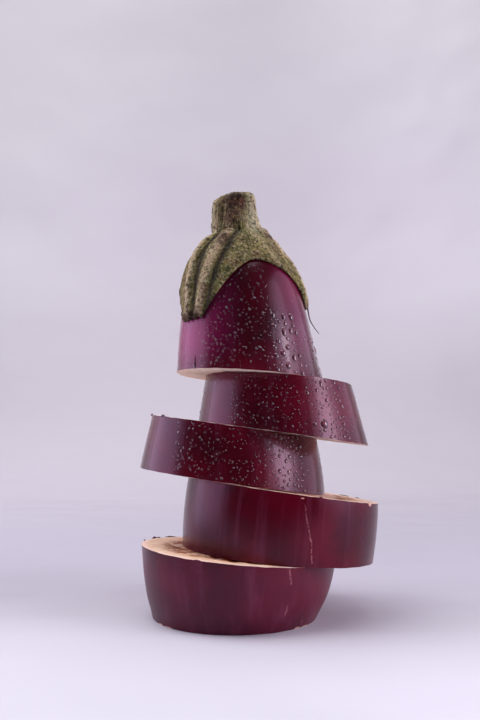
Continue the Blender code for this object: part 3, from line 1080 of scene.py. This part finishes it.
# %% Lobes and notches
Lobe = namedtuple("Lobe", "angle half_width height")
LOBES = (Lobe(-48, 11, 119.8), Lobe(92, 3, 123.5), Lobe(149, 5, 125.5), Lobe(207, 6, 121.5))
Notch = namedtuple("Notch", "height place")
NOTCHES = (Notch(142.0, 0.43), Notch(139.0, 0.5), Notch(137.5, 0.5), Notch(137.5, 0.45))
NOTCH_CURVE = 1.75
BLUNT_TEETH = 3
TOOTH_DEPTH = 2.4
TOOTH_LOBE = 20.0
LEAST_TURN = 0.001


def lobe_end(angle):
    """Height of the calyx's edge at this angle: blunt ends of the lobes, arched notches between."""
    turn = math.degrees(angle)
    for lobe in LOBES:
        aside = (turn - lobe.angle + 180) % 360 - 180
        if abs(aside) <= lobe.half_width + LEAST_TURN:
            teeth = abs(math.sin(BLUNT_TEETH * math.pi * (aside / lobe.half_width + 1) / 2))
            return (lobe.height + TOOTH_DEPTH * teeth * min(1.0, lobe.half_width / TOOTH_LOBE)) * MM
    for lobe, following, notch in zip(LOBES, LOBES[1:] + LOBES[:1], NOTCHES):
        start = lobe.angle + lobe.half_width
        width = (following.angle - following.half_width - start) % 360
        share = ((turn - start) % 360) / width
        if share < 1.0:
            break
    foot, side = (lobe, notch.place) if share < notch.place else (following, 1 - notch.place)
    drop = abs(share - notch.place) / side
    return (notch.height - (notch.height - foot.height) * drop ** NOTCH_CURVE) * MM


print("lobes end", [lobe.height for lobe in LOBES], "mm up the fruit")

# %% [markdown]
# ## Along the skin
#
# The calyx lies on the fruit, so its places are measured as one would with a tape: so far along the
# skin from the fruit's tip, and so far off the skin. An arc length replaces the height, which
# would hardly change over the flat shoulder.

# %% Places along and above the skin
ARC_STEPS = np.hypot(np.diff(OUTLINE_RADII), np.diff(OUTLINE_HEIGHTS))
OUTLINE_ARCS = np.concatenate([[0.0], np.cumsum(ARC_STEPS)])


def arc_at(height):
    """Length along the skin from the fruit's tip down to this height."""
    return float(np.interp(-height, -OUTLINE_HEIGHTS, OUTLINE_ARCS))


def outline_at(arc):
    radius = float(np.interp(arc, OUTLINE_ARCS, OUTLINE_RADII))
    height = float(np.interp(arc, OUTLINE_ARCS, OUTLINE_HEIGHTS))
    return Vector((radius, height))


def lifted(arc, angle, lift):
    """The point at this arc and angle, lift above the fruit's skin."""
    along = outline_at(arc + MM) - outline_at(max(arc - MM, 0.0))
    outward = Vector((-along.y, along.x)).normalized()
    if arc <= 0.0:
        outward = Vector((0.0, 1.0))
    base = outline_at(arc)
    radius = base.x * out_of_round(angle) + outward.x * lift
    return at(angle, radius, base.y + outward.y * lift)


print("the first lobe ends", round(arc_at(LOBES[0].height * MM) / MM, 1), "mm from the tip")

# %% [markdown]
# ## Ribs and bulges
#
# A rib starts at the stem and runs down to a lobe, turning a little on its way, so each has an
# angle at its top and one at its low end. Across, it is a rounded crest with a groove along its
# right flank. Bulges are broad and soft: they give the outline its swellings and its one hollow.

# %% Ribs and bulges of the calyx
Rib = namedtuple("Rib", "top low height")
RIBS = (
    Rib(-14, -41, 1.7),
    Rib(-58, -53, 1.7),
    Rib(-116, -84, 0.8),
    Rib(22, 52, 0.5),
    Rib(64, 91, 1.6),
    Rib(112, 122, 0.5),
    Rib(138, 149, 1.5),
    Rib(176, 190, 0.6),
    Rib(212, 207, 1.6),
)
RIB_HALF_WIDTH = 2.1 * MM
RIB_REACH = 44.0 * MM
RIB_BEND = 0.6
GROOVE_SHARE = 0.35
GROOVE_ASIDE = 1.5
SHOULDER_ARC = 9.5 * MM
Bulge = namedtuple("Bulge", "lift angle half_width arc reach")
BULGES = (
    Bulge(1.3, -80, 40, 24.0, 8.0),
    Bulge(1.9, 88, 30, 10.5, 3.0),
    Bulge(-1.4, 88, 30, 23.0, 8.0),
)


def turned_to(angle, centre):
    """The angle from centre, between half a turn back and half a turn on."""
    return (angle - centre + math.pi) % math.tau - math.pi


def rib_lift(angle, arc, radius):
    """How far the ribs stand out of the calyx, with a groove along the right flank of each."""
    along = min(max((arc - SHOULDER_ARC) / RIB_REACH, 0.0), 1.0) ** RIB_BEND
    lift = 0.0
    for rib in RIBS:
        centre = math.radians(rib.top + (rib.low - rib.top) * along)
        aside = turned_to(angle, centre) * radius / RIB_HALF_WIDTH
        crest = math.exp(-aside * aside)
        groove = GROOVE_SHARE * math.exp(-(aside - GROOVE_ASIDE) ** 2)
        lift += rib.height * MM * (crest - groove)
    return lift


def bulge(angle, arc):
    """How far the calyx stands out beyond its even thickness."""
    lift = 0.0
    for place in BULGES:
        aside = turned_to(angle, math.radians(place.angle)) / math.radians(place.half_width)
        along = (arc / MM - place.arc) / place.reach
        lift += place.lift * MM * math.exp(-aside * aside - along * along)
    return lift


print(len(RIBS), "ribs, the highest", max(rib.height for rib in RIBS), "mm")

# %% [markdown]
# ## The stem
#
# The stub of stem is a little fluted and cut at a slant. It is the oldest and driest part: brown
# and almost black at the top, with pale ridges that run down into the calyx.

# %% Form of the stem
STEM_RINGS = ((161.8, 9.8), (165.0, 9.2), (169.0, 8.8), (172.5, 8.4), (174.1, 7.0))
STEM_END = 174.6
STEM_END_RING = 0.6
STEM_CUT_RISE = 0.14
STEM_CUT_START = 168.0
STEM_FLUTES = 5
FLUTE_DEPTH = 0.055


def stem_point(angle, radius, height):
    """A point of the stem, whose upper end is cut at a slant."""
    slant = max(0.0, (height - STEM_CUT_START) / (STEM_END - STEM_CUT_START))
    fluted = radius * (1 + FLUTE_DEPTH * math.cos(STEM_FLUTES * angle))
    point = at(angle, fluted, height) * MM
    point.z += STEM_CUT_RISE * slant * point.x
    return point


print("the stem is", 2 * STEM_RINGS[1][1], "mm thick and ends", STEM_END, "mm up the fruit")

# %% [markdown]
# ## Wrapping the calyx
#
# At each angle the outside goes down the stem and out to the edge, and the inside goes back up
# along the skin. A smooth curve runs through the outside's points. All columns have the same number
# of points, so one flat grid can be wrapped round the axis, and its last column closes on its first.

# %% Wrap the stem and calyx
OUTSIDE_SHARES = (0.0, 0.07, 0.15, 0.24, 0.34, 0.45, 0.56, 0.67, 0.78, 0.88, 0.96)
SECTION_STEPS = 6
INSIDE_ROWS = 12
CALYX_COLUMNS = 400
SMOOTH_EDGE_ROWS = 3
EDGE_LIFT = 1.2 * MM
SHOULDER_LIFT = 2.0 * MM
SHOULDER_POWER = 2
RIM_LIFT = 0.85 * MM
CLEARANCE = 0.4 * MM
RIB_START = 0.3
RIB_GROWTH = 3.5
RIB_FADE = 0.55
RIB_FADE_POWER = 3
EDGE_WAVE = 0.5 * MM
EDGE_WAVES = 11
WAVE_POWER = 4
RIM_WAVE_SHARE = 0.8


def outer_section(angle):
    """Outside of the stem and calyx at one angle, from the middle of the cut end to the lobe's end."""
    section = [stem_point(angle, 0.0, STEM_END)]
    section.append(stem_point(angle, STEM_RINGS[-1][1] * STEM_END_RING, STEM_END))
    for height, radius in reversed(STEM_RINGS):
        section.append(stem_point(angle, radius, height))
    edge = arc_at(lobe_end(angle))
    wave = EDGE_WAVE * (1 + math.sin(EDGE_WAVES * angle)) / 2
    for share in OUTSIDE_SHARES:
        arc = SHOULDER_ARC + (edge - SHOULDER_ARC) * share
        lift = EDGE_LIFT + (SHOULDER_LIFT - EDGE_LIFT) * (1 - share) ** SHOULDER_POWER
        ribs = rib_lift(angle, arc, outline_at(arc).x)
        ribs *= min(1.0, RIB_START + RIB_GROWTH * share) * (1 - RIB_FADE * share ** RIB_FADE_POWER)
        lift = max(RIM_LIFT, lift + ribs + bulge(angle, arc) + wave * share ** WAVE_POWER)
        section.append(lifted(arc, angle, lift))
    section.append(lifted(edge, angle, RIM_LIFT + wave * RIM_WAVE_SHARE))
    return smooth_line(section, SECTION_STEPS)


def inner_section(angle):
    edge = arc_at(lobe_end(angle))
    arcs = [edge * (1 - row / INSIDE_ROWS) for row in range(INSIDE_ROWS + 1)]
    return [lifted(arc, angle, CLEARANCE) for arc in arcs]


def wrapped_calyx():
    """The calyx and stem as a grid wrapped round the axis, one column for each angle."""
    angles = [math.tau * i / CALYX_COLUMNS for i in range(CALYX_COLUMNS)]
    outsides = [outer_section(angle) for angle in angles]
    insides = [inner_section(angle) for angle in angles]
    rows = len(outsides[0]) + len(insides[0]) - 1
    bm = bmesh.new()
    bmesh.ops.create_grid(bm, x_segments=CALYX_COLUMNS, y_segments=rows, size=0.5)
    outside = bm.verts.layers.float.new("outside")
    for vertex in bm.verts:
        column = round((vertex.co.x + 0.5) * CALYX_COLUMNS) % CALYX_COLUMNS
        row = round((vertex.co.y + 0.5) * rows)
        section = outsides[column] + insides[column]
        vertex.co = section[row]
        vertex[outside] = 1.0 if row < len(outsides[column]) - SMOOTH_EDGE_ROWS else 0.0
    bmesh.ops.remove_doubles(bm, verts=bm.verts[:], dist=SEAM)
    bmesh.ops.recalc_face_normals(bm, faces=bm.faces[:])
    return bm


calyx_mesh = wrapped_calyx()
print("the wrapped calyx has", len(calyx_mesh.verts), "points")

# %% [markdown]
# ## Finish of the calyx
#
# The finish gives what is too small to model: olive and grey green mottling, pale scurf and brown bruises.
# Tan on the ribs' crests is partly their dried colour and partly painted highlight, and the hollows between
# them are painted nearly black as painted shade. Attributes on the mesh say where its crests and hollows
# are, and where it is dried, fresh or pale.

# %% Finish of the calyx
OLIVE = paint(92, 86, 40)
GREY_GREEN = paint(140, 128, 76)
LEAF_GREEN = paint(92, 106, 44)
PALE_GREEN = paint(204, 204, 168)
TAN = paint(204, 180, 142)
SCURF = paint(228, 218, 178)
BRUISE = paint(98, 54, 42)
NEARLY_BLACK = paint(30, 22, 16)
MOTTLE_SIZE = 3.0 * MM
MOTTLE_STEP = (0.38, 0.62)
SCURF_SIZE = 1.0 * MM
SCURF_STEP = (0.5, 0.6)
SCURF_LEAST = 0.35
SCURF_ON_CRESTS = 0.4
SCURF_ON_PALE = 0.3
SCURF_LOST = 0.6
PIT_SIZE = 1.35 * MM
PIT_STEP = (0.5, 0.6)
PIT_STRENGTH = 0.8
BRUISE_SIZE = 6.0 * MM
BRUISE_STEP = (0.54, 0.66)
BRUISE_STRENGTH = 0.6
CREST_STEP = (0.3, 0.5)
BLACK_STEP = (0.4, 0.55)
DAUB_STRENGTH = 0.9
BLACK_STRENGTH = 0.85
CALYX_DEPTH = 0.5 * MM
CALYX_ROUGHNESS = 0.72
MOTTLE_ROUGHNESS = 0.2
CALYX_AMOUNTS = ("crest", "hollow", "dried", "fresh", "pale")


def calyx_finish():
    finish = Finish("calyx", {"Specular IOR Level": 0.3})
    point = finish.attribute("in_fruit")
    crest, hollow, dried, fresh, pale = (finish.attribute(name, "Fac") for name in CALYX_AMOUNTS)
    mottle = finish.grain(point, MOTTLE_SIZE, detail=5.0, roughness=0.65)
    fleck = finish.grain(point, SCURF_SIZE, detail=4.0, roughness=0.75)
    pit = finish.grain(point, PIT_SIZE, detail=4.0, roughness=0.75)
    bruised = finish.grain(point, BRUISE_SIZE, detail=4.0, roughness=0.6)
    colour = finish.mixed(finish.step(mottle, *MOTTLE_STEP), OLIVE, GREY_GREEN)
    colour = finish.mixed(fresh * DAUB_STRENGTH, colour, LEAF_GREEN)
    colour = finish.mixed(pale * DAUB_STRENGTH, colour, PALE_GREEN)
    # Tan crests: partly the dried ribs' own colour, partly painted highlight
    colour = finish.mixed(crest * finish.step(mottle, *CREST_STEP) * DAUB_STRENGTH, colour, TAN)
    colour = finish.mixed(finish.step(bruised, *BRUISE_STEP) * BRUISE_STRENGTH, colour, BRUISE)
    colour = finish.mixed(dried * DAUB_STRENGTH, colour, BRUISE)
    scurf = SCURF_LEAST + crest * SCURF_ON_CRESTS + pale * SCURF_ON_PALE
    scurf = finish.step(fleck, *SCURF_STEP) * scurf * (1 - dried * SCURF_LOST)
    colour = finish.mixed(scurf, colour, SCURF)
    # Painted shade: the hollows between the ribs are painted nearly black
    colour = finish.mixed(hollow * BLACK_STRENGTH, colour, NEARLY_BLACK)
    blackened = dried * finish.step(mottle, *BLACK_STEP)
    colour = finish.mixed(blackened * BLACK_STRENGTH, colour, NEARLY_BLACK)
    colour = finish.mixed(finish.step(pit, *PIT_STEP) * PIT_STRENGTH, colour, NEARLY_BLACK)
    normal = finish.bump(fleck - pit, CALYX_DEPTH)
    rough = CALYX_ROUGHNESS + mottle * MOTTLE_ROUGHNESS
    finish.feed(finish.shader, {"Base Color": colour, "Roughness": rough, "Normal": normal})
    return finish.material


CALYX = calyx_finish()
print(CALYX.name, "has", len(CALYX.node_tree.nodes), "nodes")

# %% [markdown]
# ## Daubs of colour
#
# Some colours have their own places: dark at the cut end and the lobes' ends, fresh green low in
# the notches, pale on the stem. Each is a soft daub with a ragged edge, placed by its angle and
# height. Those at the back are guesses of the same kind.

# %% Where the calyx is dried, fresh or pale
DAUB_RAGGED = 0.7
DAUB_GRAIN = 2.5 * MM
Daub = namedtuple("Daub", "angle height reach_round reach_along strength")
DRIED = (
    Daub(-20, 153.0, 9, 4.0, 0.8),
    Daub(2, 171.0, 32, 4.0, 1.0),
    Daub(-8, 164.0, 20, 5.0, 0.75),
    Daub(24, 171.0, 10, 3.0, 0.8),
    Daub(-44, 165.0, 8, 4.0, 0.4),
    Daub(-48, 121.0, 15, 3.2, 1.0),
    Daub(62, 155.0, 9, 2.5, 0.6),
    Daub(92, 124.0, 7, 3.0, 0.8),
    Daub(149, 126.0, 9, 3.0, 0.9),
    Daub(207, 122.0, 10, 3.5, 0.9),
    Daub(170, 168.0, 25, 5.0, 0.7),
)
FRESH = (
    Daub(-24, 137.0, 13, 5.0, 0.9),
    Daub(-36, 129.0, 8, 6.0, 0.5),
    Daub(84, 132.0, 12, 7.0, 0.8),
    Daub(8, 158.0, 20, 3.0, 0.6),
    Daub(125, 140.0, 16, 6.0, 0.7),
    Daub(180, 142.0, 14, 6.0, 0.7),
    Daub(-110, 138.0, 14, 6.0, 0.7),
)
PALE = (
    Daub(62, 167.0, 22, 9.0, 0.9),
    Daub(36, 160.0, 14, 5.0, 0.6),
    Daub(-18, 173.8, 14, 0.8, 0.9),
    Daub(-72, 167.0, 15, 8.0, 0.7),
    Daub(140, 166.0, 16, 8.0, 0.6),
    Daub(-140, 166.0, 16, 8.0, 0.6),
)


def daubed(daubs, angle, point):
    """How much of a colour lies at a place of the calyx, with a ragged edge."""
    ragged = 1 + DAUB_RAGGED * noise.noise(point / DAUB_GRAIN)
    amount = 0.0
    for daub in daubs:
        aside = turned_to(angle, math.radians(daub.angle)) / math.radians(daub.reach_round)
        along = (point.z / MM - daub.height) / daub.reach_along
        amount += daub.strength * math.exp(-(aside * aside + along * along) * ragged)
    return min(1.0, amount)


print(len(DRIED) + len(FRESH) + len(PALE), "daubs of colour")

# %% [markdown]
# ## Dried relief
#
# Three sizes of unevenness are laid over the form: soft buckles, wrinkles that run with the ribs,
# and a fine grain. Real relief catches the light of the side panels better than a bump in the
# finish does. The same pass notes for the finish what lies where.

# %% Raise the relief and show the calyx
BUCKLE = 0.50 * MM
BUCKLE_SIZE = 6.0 * MM
WRINKLE = 0.40 * MM
WRINKLES_ROUND = 16
WRINKLE_LENGTH = 9.0 * MM
FINE_GRAIN = 0.25 * MM
GRAIN_SIZE = 1.2 * MM
FULL_CREST = 1.2
CREST_START = 0.15
FULL_HOLLOW = 0.4
STEM_CREST = 0.4
STEM_FOOT = 156.0 * MM
STEM_FADE = 6.0 * MM


def raise_relief(bm):
    """Lifts and sinks the outside along its normals, and notes for the finish what lies where."""
    outside = bm.verts.layers.float["outside"]
    in_fruit = bm.verts.layers.float_vector.new("in_fruit")
    amounts = [bm.verts.layers.float.new(name) for name in CALYX_AMOUNTS]
    crest, hollow, dried, fresh, pale = amounts
    bm.normal_update()
    moves = []
    for vertex in bm.verts:
        point = vertex.co.copy()
        angle = math.atan2(point.x, -point.y)
        arc = arc_at(min(point.z, OUTLINE_HEIGHTS.max()))
        ribs = rib_lift(angle, arc, max(point.xy.length, MM)) / MM
        low = min(1.0, max(0.0, 1 - (point.z - STEM_FOOT) / STEM_FADE))
        on_crest = min(1.0, max(0.0, ribs / FULL_CREST - CREST_START))
        vertex[crest] = on_crest * (STEM_CREST + (1 - STEM_CREST) * low)
        vertex[hollow] = min(1.0, max(0.0, -ribs / FULL_HOLLOW)) * low
        vertex[dried] = daubed(DRIED, angle, point)
        vertex[fresh] = daubed(FRESH, angle, point)
        vertex[pale] = daubed(PALE, angle, point)
        vertex[in_fruit] = point
        along = at(angle, WRINKLES_ROUND, point.z / WRINKLE_LENGTH)
        buckle = BUCKLE * noise.noise(point / BUCKLE_SIZE)
        wrinkle = WRINKLE * (1 - 2 * abs(noise.noise(along)))
        grain = FINE_GRAIN * noise.noise(point / GRAIN_SIZE)
        moves.append(vertex.normal * (buckle + wrinkle + grain) * vertex[outside])
    for vertex, move in zip(bm.verts, moves):
        vertex.co += move


STEM_END_PLACE = PLACES["stem_end_piece"]
raise_relief(calyx_mesh)
bmesh.ops.transform(calyx_mesh, matrix=STEM_END_PLACE, verts=calyx_mesh.verts[:])
calyx = show("calyx_and_stem_dried", calyx_mesh, (CALYX,), "calyx_and_stem")
print(calyx.name, len(calyx.data.polygons), "faces")

# %% [markdown]
# ## The dried thread
#
# The tip of the right lobe has dried to a stiff dark thread that stands away from the fruit. A
# curve with a round section is the simplest thread: its radius tapers from point to point.

# %% Draw the thread
THREAD_ROUTE = ((27.3, 128.0), (27.6, 124.0), (28.1, 119.5), (29.6, 116.2), (31.4, 113.3))
THREAD_RADIUS = 0.36 * MM
THREAD_TIP_SHARE = 0.35
THREAD_STEPS = 5
THREAD_ROUNDNESS = 3
SPOT_SIZE = 1.5 * MM
SPOT_STEP = (0.45, 0.6)


def thread_finish():
    finish = Finish("dried_thread", {"Specular IOR Level": 0.3, "Roughness": 0.7})
    place = finish.node("TexCoord", {}, {}, "Object")
    spots = finish.step(finish.grain(place, SPOT_SIZE, detail=3.0), *SPOT_STEP)
    finish.feed(finish.shader, {"Base Color": finish.mixed(spots, NEARLY_BLACK, BRUISE)})
    return finish.material


def draw_thread():
    angle = math.radians(LOBES[1].angle)
    points = [at(angle, radius * MM, height * MM) for radius, height in THREAD_ROUTE]
    points = [STEM_END_PLACE @ point for point in smooth_line(points, THREAD_STEPS)]
    curve = bpy.data.curves.new("dried_thread", "CURVE")
    curve.dimensions = "3D"
    curve.bevel_depth = THREAD_RADIUS
    curve.bevel_resolution = THREAD_ROUNDNESS
    curve.use_fill_caps = True
    spline = curve.splines.new("POLY")
    spline.points.add(len(points) - 1)
    for i, (place, point) in enumerate(zip(points, spline.points)):
        point.co = (*place, 1.0)
        point.radius = 1.0 - (1.0 - THREAD_TIP_SHARE) * i / (len(points) - 1)
    curve.materials.append(thread_finish())
    thread = bpy.data.objects.new("dried_thread", curve)
    bpy.context.scene.collection.objects.link(thread)
    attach(thread, "root")
    return thread


print(draw_thread().name, "has", len(THREAD_ROUTE), "points to its route")

# %% [markdown]
# ## Beads of water
#
# Water doesn't spread on waxy skin. It stands in beads, small ones round and large ones pulled down
# by their own weight. The wet came from the front right: beads are largest there, fine on the
# front, and sparse at the back.
#
# A shower is a share of the skin between two angles and below a height, with a number of beads and
# the least and largest radius, in millimetres. The few beads that catch the eye are placed one by
# one. Each says how many times taller than wide it is, and how much it narrows upwards.

# %% Where the beads lie
Bead = namedtuple("Bead", "angle height radius tall neck")
Shower = namedtuple("Shower", "start end top count small large")
SLICE_SHOWERS = (
    Shower(24, 48, 200, 210, 0.45, 0.88),
    Shower(22, 56, 200, 90, 0.20, 0.36),
    Shower(-38, 26, 200, 270, 0.22, 0.52),
    Shower(50, 100, 200, 50, 0.16, 0.36),
    Shower(100, 290, 200, 90, 0.18, 0.60),
)
TOP_SHOWERS = (
    Shower(22, 46, 119, 90, 0.65, 1.30),
    Shower(22, 50, 121, 90, 0.25, 0.50),
    Shower(-40, 24, 200, 440, 0.20, 0.55),
    Shower(46, 88, 113, 80, 0.25, 0.55),
    Shower(46, 100, 200, 30, 0.16, 0.36),
    Shower(-75, -40, 112, 25, 0.15, 0.34),
    Shower(100, 290, 200, 90, 0.18, 0.60),
)
SHOWERS = {
    "middle_slice": SLICE_SHOWERS,
    "upper_slice": SLICE_SHOWERS,
    "stem_end_piece": TOP_SHOWERS,
}
SINGLE_BEADS = {
    "upper_slice": (
        Bead(13.0, 78.0, 1.7, 1.1, 0.0),
        Bead(6.0, 78.0, 0.9, 1.1, 0.0),
        Bead(12.5, 75.6, 0.85, 1.1, 0.0),
        Bead(16.0, 93.6, 0.9, 1.9, 0.3),
        Bead(3.5, 90.2, 0.9, 1.1, 0.0),
        Bead(11.5, 91.0, 0.8, 1.1, 0.0),
        Bead(18.0, 87.0, 0.8, 1.1, 0.0),
    ),
    "middle_slice": (
        Bead(38.0, 68.0, 0.85, 1.1, 0.0),
        Bead(44.5, 59.5, 0.9, 1.1, 0.0),
        Bead(47.5, 72.0, 0.85, 1.1, 0.0),
    ),
    "stem_end_piece": (
        Bead(-44.5, 103.2, 0.95, 3.0, 0.85),
        Bead(35.0, 118.0, 1.1, 1.4, 0.1),
        Bead(33.0, 112.0, 1.3, 1.6, 0.2),
        Bead(40.0, 112.5, 1.1, 1.5, 0.1),
        Bead(29.0, 103.5, 1.25, 1.2, 0.0),
        Bead(34.0, 105.8, 1.15, 1.1, 0.0),
        Bead(38.5, 101.5, 1.25, 1.3, 0.1),
        Bead(31.5, 98.5, 1.3, 1.2, 0.1),
        Bead(86.0, 106.0, 1.2, 1.7, 0.2),
    ),
}
print(sum(len(beads) for beads in SINGLE_BEADS.values()), "beads have their own places")

# %% [markdown]
# ## One bead
#
# A bead is a squashed ball sunk a little into the skin. It bends light as water does, so it turns dark in a
# bright band and sparkles in a dark one. Its water is given a dark rose colour, painted shade that makes
# each bead darker and redder than clear water over the skin would be. A coat over it strengthens its
# highlight. Hundreds of beads need few faces each, so they are copies of a coarse ball, and only the single
# beads are copies of a finer one.

# %% Shape and finish of a bead
BEAD_DOME = 0.60
BEAD_SINK = 0.12
FINE_SPLITS = 3
COARSE_SPLITS = 2
NUDGE = 0.01
# Painted shade: the water's dark rose colour darkens each bead
PAINTED_SHADE_ROSE_WATER = paint(205, 140, 152)
WATER_LIGHT = {
    "Base Color": PAINTED_SHADE_ROSE_WATER,
    "Roughness": 0.02,
    "IOR": 1.33,
    "Transmission Weight": 1.0,
    "Specular IOR Level": 1.0,
    "Specular Tint": PINK_GLOSS,
    "Coat Weight": 1.0,
    "Coat IOR": 1.6,
    "Coat Roughness": 0.02,
}


def skin_frame(place, angle, height):
    """A frame on the skin of a piece: X to the right, Y up along the fruit, Z straight out."""
    here = place @ skin_point(angle, height)
    right = (place @ skin_point(angle + NUDGE, height) - here).normalized()
    up = (place @ skin_point(angle, height + MM) - here).normalized()
    out = right.cross(up).normalized()
    standing = Matrix((right, out.cross(right), out)).transposed().to_4x4()
    standing.translation = here
    return standing


def ball_mesh(splits):
    bm = bmesh.new()
    bmesh.ops.create_icosphere(bm, subdivisions=splits, radius=1.0)
    ball = bpy.data.meshes.new("ball")
    bm.to_mesh(ball)
    bm.free()
    return ball


def add_bead(bm, place, bead, ball):
    """Copies the ball onto the skin as a bead, narrower towards its top by its neck's share."""
    radius = bead.radius * MM
    size = Matrix.Diagonal((radius, radius * bead.tall, radius * BEAD_DOME, 1.0))
    sink = Matrix.Translation((0.0, 0.0, -BEAD_SINK * radius))
    onto_skin = skin_frame(place, math.radians(bead.angle), bead.height * MM) @ sink @ size
    first = len(bm.verts)
    bm.from_mesh(ball)
    bm.verts.ensure_lookup_table()
    for vertex in bm.verts[first:]:
        vertex.co.x *= 1 - bead.neck * (vertex.co.y + 1) / 2
        vertex.co = onto_skin @ vertex.co


WATER = Finish("water", WATER_LIGHT).material
FINE_BALL = ball_mesh(FINE_SPLITS)
COARSE_BALL = ball_mesh(COARSE_SPLITS)
print("a bead has", len(COARSE_BALL.polygons), "or", len(FINE_BALL.polygons), "faces")

# %% [markdown]
# ## Scattering the beads
#
# Places are drawn at random from a fixed seed, so the beads lie the same on each run. A bead that
# would touch another is left out. Raising the random number to a power makes small beads commoner
# than large ones.

# %% Scatter the beads
DRAWING_SEED = 11
BEAD_BIAS = 1.4
BEAD_CLEARANCE = 1.3 * MM
BEAD_PULL = 0.35
EDGE_MARGIN = 0.9 * MM


def scattered(piece, lower, upper, singles, chance):
    """Beads at random places of a piece's skin, clear of each other and of the single ones."""
    taken = [(skin_point(math.radians(bead.angle), bead.height * MM), bead) for bead in singles]
    beads = []
    for shower in SHOWERS[piece.node]:
        for _ in range(shower.count):
            angle = math.radians(chance.uniform(shower.start, shower.end) - piece.turn)
            radius = shower.small + (shower.large - shower.small) * chance.random() ** BEAD_BIAS
            low = height_on_cut(angle, *lower) + EDGE_MARGIN
            high = (height_on_cut(angle, *upper) if upper else lobe_end(angle)) - EDGE_MARGIN
            height = chance.uniform(low, min(high, shower.top * MM))
            tall = 1 + BEAD_PULL * radius * chance.random()
            bead = Bead(math.degrees(angle), height / MM, radius, tall, 0.0)
            spot = skin_point(angle, height)
            gaps = ((spot - other).length - (radius + near.radius) * BEAD_CLEARANCE for other, near in taken)
            if all(gap > 0 for gap in gaps):
                taken.append((spot, bead))
                beads.append(bead)
    return beads


chance = random.Random(DRAWING_SEED)
for piece, below, above in STACK:
    if piece.node not in SHOWERS:
        continue
    place = PLACES[piece.node]
    lower = face_of(below, GAP, place.inverted())
    upper = face_of(above, 0.0, place.inverted()) if above else None
    singles = SINGLE_BEADS[piece.node]
    beads = scattered(piece, lower, upper, singles, chance)
    water_mesh = bmesh.new()
    for bead in singles:
        add_bead(water_mesh, place, bead, FINE_BALL)
    for bead in beads:
        add_bead(water_mesh, place, bead, COARSE_BALL)
    water = show("beads_on_" + piece.node, water_mesh, (WATER,), None)
    print(water.name, len(singles) + len(beads), "beads")

# %% [markdown]
